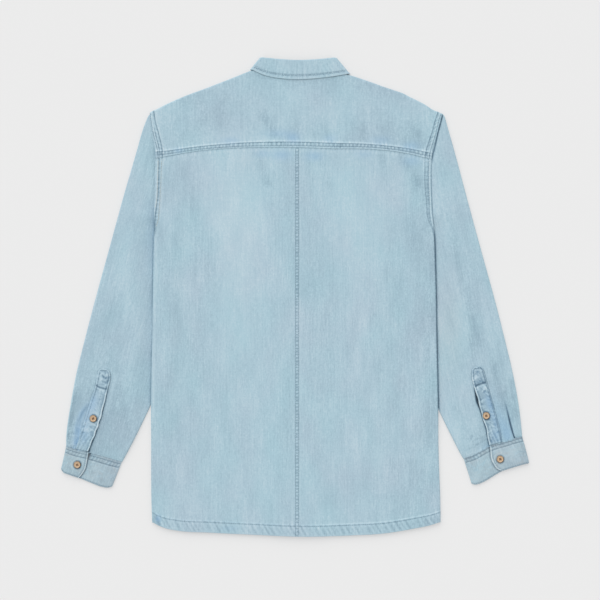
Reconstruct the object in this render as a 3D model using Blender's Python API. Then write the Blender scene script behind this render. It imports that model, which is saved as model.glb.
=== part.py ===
"""Denim shirt laid flat on its front, with its back up and its sleeves down beside the body.

x runs across the shirt from its centre back, y runs up to the collar and z is up, all in millimetres
until the last step, which centres the shirt on the origin. "out" in a table is a distance from the
centre back. Height tables hold the middle of the cloth.
"""

import math

import bpy
import numpy as np

MM = 0.001

CLOTH = 1.2
FELLED = 2.0
HEM_CLOTH = 2.4
CUFF_CLOTH = 1.8
PLACKET_CLOTH = 1.6
SEAM_GAP = 0.5
FOOT_GAP = 1.7
SIDE_GAP = 1.0
CUFF_GAP = 0.9
LAY_GAP = 0.5

BUTTON_RADIUS = 6.5
BUTTON_HEIGHT = 2.4
BUTTON_LIFT = 2.9
OVERLAP_LIFT = 1.7
OVERLAP_WIDTH = 15.0
COLLAR_LIFT = 1.7
TUCK_LIFT = 3.3
BACK_OVER_FRONT = 4.7
BACK_SINK = 0.35

# Where each lift of the front starts and where it is full.
BUTTONS_ACROSS = (75.0, 22.0)
TUCK_INSIDE = (60.0, 26.0)
TUCK_TOP = (175.0, 115.0)
TUCK_FOOT = (-265.0, -205.0)
COLLAR_ACROSS = (127.0, 102.0)
COLLAR_UP = (222.0, 255.0)
OVERLAP_ACROSS = (45.0, 18.0)

CENTRE_SEAM_X = -4.1
CENTRE_STRIP = 6.3
YOKE_STRIP = 9.5
HEM_STRIP = 20.0
STRIP_STEP = 1.5
YOKE_FRONT_DROP = 25.0
YOKE_FRONT_GAP = 2.5
UNDERARM_Y = 113.9
SHOULDER_Y = 331.7
YOKE_Y = 255.0
NECK_Y = 300.0
CHEST_Y = 320.0
COLLAR_Y = 400.0
HEM_Y = -400.0
FRONT_HEM_SHORT = 2.0
SIDE_FOLD = (UNDERARM_Y + 55, UNDERARM_Y + 5)
SIDE_INSET = 3.0

SLEEVE_LOW = 0.6
SLEEVE_TUCKED = 2.15
SLEEVE_FREE = 5.3
SLEEVE_END = 3.0
SLEEVE_RISE = 30.0
CUFF_FROM = 0.84
PLEAT_RISE = 1.6
CUFF_WIDTH = 104.0
CUFF_LOW = 0.9
CUFF_UNDER = 3.0
CUFF_OVER = 5.1

COLLAR_TURN = 1.0
LEAF_GAP = 0.9
LEAF_RISE = 1.6
LEAF_LOW = 0.6

FOLD_ROWS = 4
STRIP_PART = 0.94
BACK_INNER = (0.0, 0.1, 0.25, 0.42, 0.6, 0.75, 0.87)
BACK_OUTER = (0.942, 0.95, 0.975, 1.0, 1.34, 1.67, 2.0)
BACK_ROWS = (0, 0.05, 0.1, 0.16, 0.22, 0.28, 0.34, 0.42, 0.5, 0.58, 0.66, 0.74, 0.82, 0.9, 0.965)
FRONT_OUTER = (0.36, 0.46, 0.58, 0.7, 0.8, 0.9, 1.0, 1.34, 1.67, 2.0)
FRONT_ROWS = (0, 0.05, 0.1, 0.15, 0.2, 0.25, 0.3, 0.35, 0.42, 0.5, 0.6, 0.7, 0.76, 0.82, 0.9, 0.97)
HEM_ROWS = ("strip", "edge", "end")
SLEEVE_ROWS = (0, 0.02, 0.05, *np.linspace(0.09, 0.84, 15), 0.88, 0.92, 0.96, 1)
SLEEVE_UNDER = (1, 0.9, 0.7, 0.5, 0.3, 0.1, 0)
CUFF_ROWS = (0, 0.3, 0.7, 0.92, 1)
CUFF_TURN = np.radians((90, 45, 0, -45, -90))
YOKE_COLUMNS = (1, 0.97, 0.945, 0.938, 0.84, 0.72, 0.6, 0.48, 0.38)
NECK_COLUMNS = (1, 0.86, 0.6, 0.3)
YOKE_ROWS = (0.12, 0.3, 0.5, 0.7, 0.88, 1)
YOKE_FRONT_ROWS = (0.45, 1)
SIGN = {"left": -1, "right": 1}

# Radius and height rows of a button with a raised rim, and of a plain one.
SHOWN_PROFILE = ((0, 0), (5.4, 0), (6.5, 0.8), (6.5, 1.9), (6.0, 2.4), (5.2, 2.4), (4.4, 1.9), (0, 1.9))
FRONT_PROFILE = ((0, 0), (BUTTON_RADIUS, 0), (BUTTON_RADIUS, BUTTON_HEIGHT), (0, BUTTON_HEIGHT))

DENIM = (0.40, 0.56, 0.66)
DENIM_ROUGHNESS = 0.9
BROWN = (0.55, 0.33, 0.16)
BROWN_ROUGHNESS = 0.5


def table(names, rows):
    """The columns of a table by name."""
    return dict(zip(names.split(), np.array(rows, float).T))


SIDE = table("y left right", (
    (-431.5, 260.8, 257.0),
    (-405.4, 261.9, 257.7),
    (-361.3, 263.3, 257.2),
    (-318.1, 263.7, 255.5),
    (-274.9, 263.7, 254.2),
    (-192.1, 263.7, 253.4),
    (-94.9, 262.3, 251.1),
    (-4.9, 260.8, 249.7),
    (67.1, 259.6, 247.9),
    (113.9, 258.7, 246.1),
    (170.3, 257.6, 243.0),
    (229.1, 256.5, 241.7),
    (259.7, 255.8, 242.8),
    (293.2, 261.5, 252.4),
    (331.7, 265.9, 262.6),
))

HEM = table("x y", (
    (-263.7, -405.0),
    (-254.7, -410.2),
    (-242.1, -415.5),
    (-217.8, -420.4),
    (-160.2, -423.8),
    (-73.8, -427.9),
    (12.6, -430.9),
    (99.0, -428.8),
    (156.6, -425.4),
    (214.2, -416.2),
    (243.0, -410.2),
    (258.7, -405.0),
))

SHOULDER = table("x y", (
    (-265.9, 332.6),
    (-246.6, 342.5),
    (-217.8, 356.2),
    (-160.2, 378.4),
    (-102.6, 400.7),
    (-85.5, 407.5),
    (-74.0, 411.0),
    (81.0, 404.2),
    (94.5, 400.0),
    (127.8, 389.3),
    (156.6, 378.9),
    (176.0, 372.4),
    (189.0, 367.9),
    (203.0, 360.6),
    (214.2, 355.3),
    (232.0, 345.6),
    (243.0, 338.2),
    (254.0, 333.6),
    (262.6, 329.9),
))

YOKE_SEAM = table("x y", (
    (-256.1, 248.9),
    (-247.5, 250.7),
    (-211.5, 257.9),
    (-175.5, 263.3),
    (-126.9, 267.3),
    (-58.5, 269.5),
    (0.0, 269.1),
    (60.3, 267.1),
    (134.1, 265.9),
    (184.5, 260.6),
    (206.1, 256.5),
    (233.1, 249.7),
    (242.1, 247.9),
))

BACK_NECK = table("x y", (
    (-74.0, 407.0),
    (-55.0, 401.2),
    (-25.0, 396.9),
    (0.0, 395.6),
    (27.0, 396.2),
    (58.0, 398.6),
    (81.0, 400.6),
))

NECK_OUT = {"left": 74.0, "right": 81.0}

FRONT_NECK = table("part y", (
    (0.0, 310.0),
    (0.3, 314.5),
    (0.6, 327.0),
    (0.85, 347.0),
    (0.96, 366.0),
    (1.0, 378.0),
))

SLEEVE_OUTER = {
    "left": table("out y", (
        (266.5, 332.0),
        (276.5, 307.4),
        (289.1, 264.2),
        (314.3, 177.8),
        (338.0, 91.4),
        (367.7, -16.6),
        (390.1, -103.0),
        (406.4, -167.8),
        (416.2, -211.0),
        (418.2, -238.9),
        (416.9, -268.0),
    )),
    "right": table("out y", (
        (263.2, 331.7),
        (270.0, 307.4),
        (282.2, 264.2),
        (305.3, 177.8),
        (328.9, 91.4),
        (358.6, -16.6),
        (380.2, -103.0),
        (396.0, -167.8),
        (401.8, -211.0),
        (403.9, -232.6),
        (405.0, -250.2),
    )),
}

SLEEVE_INNER = {
    "left": table("out y", (
        (259.3, 113.9),
        (259.3, 88.7),
        (257.2, 40.1),
        (250.2, -22.9),
        (243.9, -85.9),
        (245.7, -145.3),
        (263.7, -192.1),
        (272.2, -211.0),
        (292.3, -254.2),
        (315.9, -295.2),
    )),
    "right": table("out y", (
        (246.7, 113.9),
        (246.9, 88.7),
        (244.7, 40.1),
        (239.4, -22.9),
        (233.1, -85.9),
        (234.9, -148.9),
        (253.8, -201.1),
        (268.0, -232.6),
        (289.1, -275.8),
        (299.0, -289.5),
    )),
}

CUFF = {
    "left": table("part seam_out seam_y hem_out hem_y", (
        (0.0, 416.9, -268.0, 426.0, -309.0),
        (0.05, 411.9, -269.4, 422.6, -314.4),
        (0.17, 399.6, -273.5, 411.6, -319.4),
        (0.38, 378.1, -278.4, 392.6, -326.0),
        (0.62, 354.4, -284.4, 370.4, -335.0),
        (0.80, 336.2, -289.6, 353.6, -341.2),
        (0.95, 320.8, -293.9, 339.2, -342.6),
        (1.0, 315.9, -295.2, 334.2, -340.8),
    )),
    "right": table("part seam_out seam_y hem_out hem_y", (
        (0.0, 405.0, -250.2, 417.6, -298.6),
        (0.136, 390.6, -253.8, 403.2, -302.2),
        (0.305, 372.7, -259.4, 385.8, -307.4),
        (0.47, 355.2, -264.3, 368.7, -313.2),
        (0.545, 347.2, -267.0, 360.8, -317.4),
        (0.694, 331.4, -275.3, 345.4, -327.0),
        (0.813, 318.8, -282.2, 333.0, -333.8),
        (0.95, 304.4, -287.6, 318.8, -337.4),
        (1.0, 299.0, -289.5, 314.0, -335.8),
    )),
}

CUFF_END = {"left": 0.40, "right": 0.54}
CUFF_START = 0.10
CUFF_CORNER = 0.045

SLEEVE_COLUMNS = {
    "left": (0, 0.08, 0.17, 0.20, 0.28, 0.36, 0.41, 0.55, 0.70, 0.85, 1),
    "right": (0, 0.07, 0.14, 0.17, 0.30, 0.45, 0.51, 0.56, 0.70, 0.85, 1),
}
PLEAT = {"left": (0.17, 0.20), "right": (0.14, 0.17)}
SLIT = {"left": (0.36, 0.41), "right": (0.51, 0.56)}

PLACKET = {
    "left": table("outer_out outer_y inner_out inner_y", (
        (357.0, -133.0, 341.5, -133.4),
        (360.0, -139.9, 336.9, -143.0),
        (363.8, -160.4, 342.2, -167.2),
        (370.2, -179.0, 347.5, -191.0),
        (376.6, -198.2, 353.7, -215.5),
        (387.9, -235.3, 362.9, -243.0),
        (399.0, -272.4, 377.0, -277.4),
    )),
    "right": table("outer_out outer_y inner_out inner_y", (
        (333.0, -129.4, 317.5, -129.8),
        (336.2, -137.5, 313.6, -139.5),
        (343.3, -163.3, 318.6, -163.8),
        (348.5, -182.0, 324.4, -182.5),
        (353.7, -201.1, 329.8, -205.0),
        (362.7, -233.5, 340.2, -240.0),
        (368.3, -260.0, 345.0, -266.4),
    )),
}

COLLAR_FRONT = table("part foot_out foot_drop head_out head_drop tip_out tip_drop", (
    (0, 1.00, 0.000, 1.00, 0.00, 1.00, 0.00),
    (1, 0.985, 0.214, 0.94, 0.24, 1.00, 0.20),
    (2, 0.94, 0.397, 0.80, 0.45, 0.99, 0.38),
    (3, 0.832, 0.606, 0.60, 0.64, 0.96, 0.56),
    (4, 0.59, 0.812, 0.38, 0.84, 0.90, 0.74),
    (5, 0.30, 0.947, 0.19, 0.96, 0.82, 0.89),
    (6, 0.00, 1.000, 0.00, 1.00, 0.66, 1.00),
    (7, -0.20, 1.000, -0.24, 1.00, 0.50, 1.00),
))
COLLAR_WIDTH = {
    "left": {"foot": 71.6, "head": 61.5, "tip": 85.4},
    "right": {"foot": 79.6, "head": 64.5, "tip": 94.8},
}
COLLAR_END_Y = {"foot": 313.0, "head": 340.0, "tip": 262.0}
COLLAR_SPREAD = 5.0

COLLAR_FOLD = table("x y", (
    (-66.8, 431.2),
    (-35.1, 429.3),
    (-0.9, 427.9),
    (33.3, 428.7),
    (69.8, 430.8),
))
COLLAR_EDGE = table("x y", (
    (-86.0, 411.8),
    (-74.0, 405.6),
    (-63.9, 401.0),
    (-45.9, 396.0),
    (-26.1, 393.1),
    (0.0, 391.7),
    (22.5, 392.6),
    (58.5, 396.5),
    (76.5, 399.2),
    (95.4, 402.6),
))

SHOWN_BUTTONS = table("x y over", (
    (-396.2, -301.3, 0),
    (-367.2, -218.0, 1),
    (364.7, -291.2, 0),
    (339.3, -212.9, 1),
))
FRONT_BUTTONS = table("x y", (
    (0.0, 325.0),
    (0.0, 262.0),
    (0.0, 167.0),
    (0.0, 72.0),
    (0.0, -23.0),
    (0.0, -118.0),
    (0.0, -213.0),
    (0.0, -308.0),
))


def rise(value, start, end):
    """From 0 at start to 1 at end, level before and after."""
    t = np.clip((value - start) / (end - start), 0, 1)
    return t * t * (3 - 2 * t)


def along(xs, ys, x):
    """The smooth curve through the rows of a table, level beyond its ends."""
    slopes = np.gradient(ys, xs)
    x = np.clip(x, xs[0], xs[-1])
    i = np.clip(np.searchsorted(xs, x, side="right") - 1, 0, len(xs) - 2)
    span = xs[i + 1] - xs[i]
    t = (x - xs[i]) / span
    start = ys[i] * (1 + 2 * t) * (1 - t) ** 2 + slopes[i] * span * t * (1 - t) ** 2
    end = ys[i + 1] * t * t * (3 - 2 * t) - slopes[i + 1] * span * t * t * (1 - t)
    return start + end


def track(outs, ys, part):
    """The point a part of the way along a line of points, by its length."""
    steps = np.hypot(np.diff(outs), np.diff(ys))
    reached = np.concatenate([[0], np.cumsum(steps)]) / steps.sum()
    return along(reached, outs, part), along(reached, ys, part)


def side_name(x):
    return "left" if x < 0 else "right"


def side_out(side, y):
    return along(SIDE["y"], SIDE[side], y)


def front_lift(x, y):
    """How far the front is held off the table, by its buttons, a sleeve or the collar beneath it."""
    out = np.abs(x)
    edge = np.where(x < 0, side_out("left", y), side_out("right", y))
    inside = edge - out
    buttons = BUTTON_LIFT * rise(out, *BUTTONS_ACROSS)
    tuck = TUCK_LIFT * rise(inside, *TUCK_INSIDE) * rise(y, *TUCK_TOP) * rise(y, *TUCK_FOOT)
    collar = COLLAR_LIFT * rise(out, *COLLAR_ACROSS) * rise(y, *COLLAR_UP)
    return (buttons**4 + tuck**4 + collar**4) ** 0.25


def front_mid(x, y):
    return front_lift(x, y) + CLOTH / 2


def overlap(side, x):
    """How far the right front passes above the left one near the centre."""
    return OVERLAP_LIFT * rise(x, *OVERLAP_ACROSS) if side == "right" else 0


def back_mid(x, y):
    lift = front_lift(x, y)
    return lift + CLOTH / 2 + BACK_OVER_FRONT - BACK_SINK * lift


def cell_normals(grid, ring):
    near = np.concatenate([grid, grid[:, :1]], axis=1) if ring else grid
    across = near[1:, 1:] - near[:-1, :-1]
    other = near[1:, :-1] - near[:-1, 1:]
    normal = np.cross(across, other)
    return normal / np.maximum(np.linalg.norm(normal, axis=2, keepdims=True), 1e-9)


def wall(grid, outer, inner, used=None, ring=False):
    """Points and faces of a closed wall about a grid of points, its rows first. outer and inner are
    its depths on each side. ring joins the last column to the first."""
    rows, columns = grid.shape[:2]
    cells = cell_normals(grid, ring)
    if used is None:
        used = np.ones(cells.shape[:2], bool)
    total = np.zeros_like(grid)
    for i in range(cells.shape[0]):
        for j in range(cells.shape[1]):
            if used[i, j]:
                for di, dj in ((0, 0), (0, 1), (1, 0), (1, 1)):
                    total[i + di, (j + dj) % columns] += cells[i, j]
    total /= np.maximum(np.linalg.norm(total, axis=2, keepdims=True), 1e-9)
    outer = np.broadcast_to(outer, (rows, columns))[:, :, None]
    inner = np.broadcast_to(inner, (rows, columns))[:, :, None]
    points = np.concatenate([grid + total * outer, grid - total * inner]).reshape(-1, 3)
    under = rows * columns
    faces = []
    edges = set()
    for i in range(cells.shape[0]):
        for j in range(cells.shape[1]):
            if not used[i, j]:
                continue
            k = (j + 1) % columns
            loop = [i * columns + j, i * columns + k, (i + 1) * columns + k, (i + 1) * columns + j]
            faces.append(loop)
            faces.append([v + under for v in reversed(loop)])
            edges.update(zip(loop, loop[1:] + loop[:1]))
    for a, b in edges:
        if (b, a) not in edges:
            faces.append([b, a, a + under, b + under])
    kept = np.unique(np.concatenate([np.array(face) for face in faces]))
    place = np.zeros(len(points), int)
    place[kept] = np.arange(len(kept))
    return points[kept], [[int(place[v]) for v in face] for face in faces]


def turned(profile, segments, centre):
    """Points and faces of a disc turned from (radius, height) rows that start and end on its axis."""
    points = [(0, 0, profile[0][1])]
    for r, z in profile[1:-1]:
        for s in range(segments):
            a = 2 * math.pi * s / segments
            points.append((r * math.cos(a), r * math.sin(a), z))
    points.append((0, 0, profile[-1][1]))
    last = len(points) - 1
    faces = []
    for s in range(segments):
        t = (s + 1) % segments
        faces.append([0, 1 + t, 1 + s])
        for ring in range(len(profile) - 3):
            low = 1 + ring * segments
            high = low + segments
            faces.append([low + s, low + t, high + t, high + s])
        low = 1 + (len(profile) - 3) * segments
        faces.append([low + s, low + t, last])
    return np.array(points, float) + np.array(centre, float), faces


def signed_volume(points, faces):
    total = 0.0
    for face in faces:
        for b, c in zip(face[1:-1], face[2:]):
            total += np.dot(points[face[0]], np.cross(points[b], points[c]))
    return total


def add_object(name, points, faces, colour, roughness):
    if signed_volume(points, faces) < 0:
        faces = [face[::-1] for face in faces]
    mesh = bpy.data.meshes.new(name)
    mesh.from_pydata([tuple(p * MM) for p in points], [], faces)
    obj = bpy.data.objects.new(name, mesh)
    bpy.context.scene.collection.objects.link(obj)
    material = bpy.data.materials.new(name + "_material")
    material.use_nodes = True
    shader = material.node_tree.nodes["Principled BSDF"]
    shader.inputs["Base Color"].default_value = (*colour, 1)
    shader.inputs["Roughness"].default_value = roughness
    shader.inputs["Metallic"].default_value = 0
    mesh.materials.append(material)
    return obj


def add_cloth(name, grid, outer=CLOTH / 2, inner=CLOTH / 2, used=None, ring=False):
    return add_object(name, *wall(grid, outer, inner, used, ring), DENIM, DENIM_ROUGHNESS)


def shoulder_turn(edge):
    """The rows of the shoulder fold, a half turn from the last back row down to the front layer."""
    rows = []
    for a in np.linspace(0, math.pi, FOLD_ROWS + 1)[1:]:
        row = []
        for x, y, high in edge:
            low = front_mid(x, y)
            turn = (high - low) / 2
            row.append((x, y + turn * math.sin(a), low + turn + turn * math.cos(a)))
        rows.append(row)
    return rows


def build_yoke():
    """One piece over both shoulders: up the back, round each shoulder fold, and down to its front seam."""
    columns = [("right", 0)]
    for side in ("left", "right"):
        neck = NECK_OUT[side] / side_out(side, SHOULDER_Y)
        columns += [(side, part) for part in YOKE_COLUMNS + tuple(neck * share for share in NECK_COLUMNS)]
    columns.sort(key=lambda column: column[1] * SIGN[column[0]])
    risers = (0, YOKE_STRIP, YOKE_STRIP + STRIP_STEP)
    backs = []
    fronts = []
    for side, part in columns:
        foot = along(YOKE_SEAM["x"], YOKE_SEAM["y"], SIGN[side] * part * side_out(side, YOKE_Y))
        head_x = SIGN[side] * part * side_out(side, SHOULDER_Y)
        line = along(SHOULDER["x"], SHOULDER["y"], head_x) - CLOTH / 2
        turn = (back_mid(head_x, line) - front_mid(head_x, line)) / 2
        wing = abs(head_x) >= NECK_OUT[side] - 0.01
        top = line - turn if wing else along(BACK_NECK["x"], BACK_NECK["y"], head_x)
        reach = top - foot - risers[-1]
        ys = [foot + r for r in risers] + [foot + risers[-1] + reach * share for share in YOKE_ROWS]
        backs.append([(SIGN[side] * part * side_out(side, y), y) for y in ys])
        ys = [top - share * (YOKE_FRONT_DROP - turn) for share in YOKE_FRONT_ROWS]
        fronts.append([(SIGN[side] * part * side_out(side, y), y) for y in ys])
    backs = [[(x, y, back_mid(x, y)) for x, y in row] for row in zip(*backs)]
    fronts = [[(x, y, front_mid(x, y)) for x, y in row] for row in zip(*fronts)]
    grid = np.array(backs + shoulder_turn(backs[-1]) + fronts)
    used = np.ones((grid.shape[0] - 1, grid.shape[1] - 1), bool)
    beside = [part * side_out(side, SHOULDER_Y) < NECK_OUT[side] + 0.01 for side, part in columns]
    for j, pair in enumerate(zip(beside, beside[1:])):
        if all(pair):
            used[len(backs) - 1 :, j] = False
    raised = np.zeros(grid.shape[:2])
    raised[:2] = FELLED - CLOTH
    for j, (side, part) in enumerate(columns):
        if part > STRIP_PART:
            raised[: len(backs), j] = FELLED - CLOTH
    return add_cloth("back_yoke", grid, CLOTH / 2 + raised, CLOTH / 2, used)


def body_column(side, part, y, height, toward):
    """A point of a body panel, from its centre out to its side, where it turns into the side fold.
    Above the underarm it ends level at the armhole instead."""
    sign = SIGN[side]
    edge = side_out(side, y)
    inset = sign * (edge - SIDE_INSET)
    turn = (back_mid(inset, y) - front_mid(inset, y)) / 2
    flat = edge - CLOTH / 2 - turn
    if part <= 1:
        x = sign * part * flat
        return x, y, height(x, y)
    folds = rise(y, *SIDE_FOLD)
    angle = (part - 1) * (math.pi / 2 - math.asin(SIDE_GAP / 2 / turn))
    arc_out = flat + turn * math.sin(angle)
    arc_z = height(inset, y) - toward * turn * (1 - math.cos(angle))
    open_out = flat + (edge - SEAM_GAP - flat) * (part - 1)
    open_z = height(sign * open_out, y)
    return sign * (open_out + (arc_out - open_out) * folds), y, open_z + (arc_z - open_z) * folds


def build_back(side):
    sign = SIGN[side]
    start = CENTRE_SEAM_X + sign * SEAM_GAP / 2
    strip = (CENTRE_STRIP, CENTRE_STRIP + STRIP_STEP) if side == "right" else ()
    strips = tuple((start + s) / side_out(side, 0) for s in strip)
    parts = BACK_INNER[:1] + strips + BACK_INNER[1:] + BACK_OUTER
    grid = []
    raised = []
    for share in BACK_ROWS + HEM_ROWS:
        row = []
        extra = []
        for part in parts:
            foot_x = sign * min(part, 1) * side_out(side, YOKE_Y)
            if part == 0:
                foot_x = start
            hem_x = sign * min(part, 1) * side_out(side, HEM_Y)
            top = along(YOKE_SEAM["x"], YOKE_SEAM["y"], foot_x) - SEAM_GAP
            low = along(HEM["x"], HEM["y"], hem_x)
            hem = low + HEM_STRIP
            ys = {"strip": hem + STRIP_STEP, "edge": hem, "end": low}
            y = ys[share] if share in ys else top + (hem + STRIP_STEP - top) * share
            x, y, z = body_column(side, part, y, back_mid, 1)
            if part == 0:
                x = start
                z = back_mid(x, y)
            felled = (FELLED - CLOTH) * (1 - rise(y, *SIDE_FOLD)) * (part > STRIP_PART + 0.005)
            if side == "right" and part < (start + CENTRE_STRIP + 0.1) / side_out(side, 0):
                felled = FELLED - CLOTH
            if share in ("edge", "end"):
                felled = HEM_CLOTH - CLOTH
            row.append((x, y, z))
            extra.append(felled)
        grid.append(row)
        raised.append(extra)
    grid = np.array(grid)[::-1]
    raised = np.array(raised)[::-1]
    if side == "left":
        grid = grid[:, ::-1]
        raised = raised[:, ::-1]
    return add_cloth("back_" + side, grid, CLOTH / 2 + raised, CLOTH / 2)


def build_front(side):
    sign = SIGN[side]
    necks = tuple(p * NECK_OUT[side] / side_out(side, NECK_Y) for p in FRONT_NECK["part"][1:])
    parts = (-OVERLAP_WIDTH / side_out(side, 0), 0.0) + necks + FRONT_OUTER

    def height(x, y):
        return front_mid(x, y) + overlap(side, x)

    grid = []
    for share in FRONT_ROWS + HEM_ROWS:
        row = []
        for part in parts:
            base = min(part, 1)
            beside = abs(base) * side_out(side, NECK_Y)
            if beside < NECK_OUT[side] - 0.5:
                top = along(FRONT_NECK["part"], FRONT_NECK["y"], beside / NECK_OUT[side] if base > 0 else 0)
            else:
                top_x = sign * base * side_out(side, CHEST_Y)
                top = along(SHOULDER["x"], SHOULDER["y"], top_x) - YOKE_FRONT_DROP - YOKE_FRONT_GAP
            low = along(HEM["x"], HEM["y"], sign * base * side_out(side, HEM_Y)) + FRONT_HEM_SHORT
            hem = low + HEM_STRIP
            ys = {"strip": hem + STRIP_STEP, "edge": hem, "end": low}
            y = ys[share] if share in ys else top + (hem + STRIP_STEP - top) * share
            row.append(body_column(side, part, y, height, -1))
        grid.append(row)
    return add_cloth("front_" + side, np.array(grid))


def sleeve_plan(side, part, reach):
    """A point of the sleeve in plan. part runs from the armhole to the cuff, reach from the outer
    fold to the inner one."""
    outer = np.array(track(SLEEVE_OUTER[side]["out"], SLEEVE_OUTER[side]["y"], part))
    inner = np.array(track(SLEEVE_INNER[side]["out"], SLEEVE_INNER[side]["y"], part))
    point = outer + (inner - outer) * reach
    arm_y = SHOULDER_Y + (UNDERARM_Y - SHOULDER_Y) * reach
    ends = [side_out(side, y) for y in (SHOULDER_Y, UNDERARM_Y)]
    bow = side_out(side, arm_y) - (ends[0] + (ends[1] - ends[0]) * reach)
    point[0] += bow * max(0, 1 - part / 0.3) ** 2
    seam = np.array(cuff_point(side, reach, 0)) + (0, CUFF_GAP)
    return point + (seam - point) * rise(part, 0.75, 1)


def sleeve_high(side, part, reach, out, y):
    """The height of the sleeve's upper layer: low where it is tucked beneath the body, raised by the
    pleat and the slit near the cuff."""
    away = np.hypot(max(0, out - side_out(side, y) - 3), max(0, y - UNDERARM_Y - 8))
    high = SLEEVE_TUCKED + (SLEEVE_FREE - SLEEVE_TUCKED) * rise(away, 0, SLEEVE_RISE)
    high += (SLEEVE_END - high) * rise(part, CUFF_FROM, 1)
    pleat = rise(reach, *PLEAT[side]) * (1 - rise(reach, *SLIT[side]))
    return high + PLEAT_RISE * pleat * rise(part, CUFF_FROM, 0.98)


def build_sleeve(side):
    sign = SIGN[side]
    grid = []
    for part in SLEEVE_ROWS:
        ends = [sleeve_plan(side, part, reach) for reach in (0, 1)]
        length = np.hypot(*(ends[1] - ends[0]))
        highs = [sleeve_high(side, part, reach, *ends[reach]) for reach in (0, 1)]
        turns = [(high - SLEEVE_LOW) / 2 for high in highs]
        starts = [(CLOTH / 2 + turn) / length for turn in turns]
        ring = []

        def put(reach, z):
            out, y = sleeve_plan(side, part, reach)
            ring.append((sign * out, y, z))

        def fold(end, angles):
            for a in angles:
                inset = (CLOTH / 2 + turns[end] - turns[end] * math.cos(a)) / length
                put(inset if end == 0 else 1 - inset, SLEEVE_LOW + turns[end] + turns[end] * math.sin(a))

        for share in SLEEVE_COLUMNS[side]:
            reach = starts[0] + (1 - starts[0] - starts[1]) * share
            out, y = sleeve_plan(side, part, reach)
            put(reach, sleeve_high(side, part, share, out, y))
        fold(1, (0,))
        for share in SLEEVE_UNDER:
            put(starts[0] + (1 - starts[0] - starts[1]) * share, SLEEVE_LOW)
        fold(0, np.radians((-45, 0, 45)))
        grid.append(ring)
    return add_cloth("sleeve_" + side, np.array(grid), ring=True)


def cuff_point(side, reach, down):
    cuff = CUFF[side]
    out = [along(cuff["part"], cuff[name], reach) for name in ("seam_out", "hem_out")]
    y = [along(cuff["part"], cuff[name], reach) for name in ("seam_y", "hem_y")]
    return out[0] + (out[1] - out[0]) * down, y[0] + (y[1] - y[0]) * down


def build_cuff(side):
    """A band from its hidden end, round the inner fold, along the table and over the outer fold to the
    end that laps over."""
    sign = SIGN[side]
    end = CUFF_END[side]
    small = (CUFF_UNDER - CUFF_LOW) / 2
    large = (CUFF_OVER - CUFF_LOW) / 2
    half = CUFF_CLOTH / 2
    path = [(reach, CUFF_UNDER) for reach in (CUFF_START, 0.3, end, 0.7, 0.85)]
    for a in CUFF_TURN:
        inset = (half + small - small * math.cos(a)) / CUFF_WIDTH
        path.append((1 - inset, CUFF_LOW + small + small * math.sin(a)))
    path += [(reach, CUFF_LOW) for reach in (0.75, 0.5, 0.25)]
    for a in CUFF_TURN[::-1]:
        inset = (half + large - large * math.cos(a)) / CUFF_WIDTH
        path.append((inset, CUFF_LOW + large + large * math.sin(a)))
    path += [(reach, CUFF_OVER) for reach in (0.2, end - 0.08, end)]
    grid = []
    for down in CUFF_ROWS:
        row = []
        for n, (reach, z) in enumerate(path):
            if n == len(path) - 1:
                reach -= CUFF_CORNER * rise(down, 0.6, 1)
            out, y = cuff_point(side, reach, down)
            row.append((sign * out, y, z))
        grid.append(row)
    return add_cloth("cuff_" + side, np.array(grid)[:, ::-1], CUFF_CLOTH / 2, CUFF_CLOTH / 2)


def sleeve_place(side, out, y):
    """The part and reach of a plan point near the end of a sleeve."""
    best = None
    for part in np.linspace(0.55, 1, 46):
        a = sleeve_plan(side, part, 0)
        b = sleeve_plan(side, part, 1)
        reach = np.dot((out, y) - a, b - a) / np.dot(b - a, b - a)
        miss = np.hypot(*(sleeve_plan(side, part, reach) - (out, y)))
        if best is None or miss < best[0]:
            best = (miss, part, reach)
    return best[1:]


def placket_rest(side):
    """Heights of the placket's middle along its length, clear of the sleeve beneath it."""
    rows = PLACKET[side]
    heights = []
    for n in range(len(rows["outer_out"])):
        tops = []
        for share in (0, 0.5, 1):
            out = rows["outer_out"][n] + (rows["inner_out"][n] - rows["outer_out"][n]) * share
            y = rows["outer_y"][n] + (rows["inner_y"][n] - rows["outer_y"][n]) * share
            part, reach = sleeve_place(side, out, y)
            tops.append(sleeve_high(side, part, reach, out, y))
        heights.append(max(tops) + CLOTH / 2 + LAY_GAP + PLACKET_CLOTH / 2)
    return np.array(heights)


def build_placket(side):
    sign = SIGN[side]
    rows = PLACKET[side]
    heights = placket_rest(side)
    grid = []
    for n in range(len(heights)):
        row = []
        for share in (0, 0.15, 0.5, 0.85, 1):
            out = rows["outer_out"][n] + (rows["inner_out"][n] - rows["outer_out"][n]) * share
            y = rows["outer_y"][n] + (rows["inner_y"][n] - rows["outer_y"][n]) * share
            row.append((sign * out, y, heights[n]))
        grid.append(row)
    return add_cloth("sleeve_placket_" + side, np.array(grid), PLACKET_CLOTH / 2, PLACKET_CLOTH / 2)


def back_y(name, x):
    """Where a level of the collar lies at the back of the neck."""
    if name == "foot":
        return along(BACK_NECK["x"], BACK_NECK["y"], x) + FOOT_GAP
    if name == "head":
        return along(COLLAR_FOLD["x"], COLLAR_FOLD["y"], x) - CLOTH / 2 - COLLAR_TURN - LEAF_RISE
    return along(COLLAR_EDGE["x"], COLLAR_EDGE["y"], x)


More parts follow.
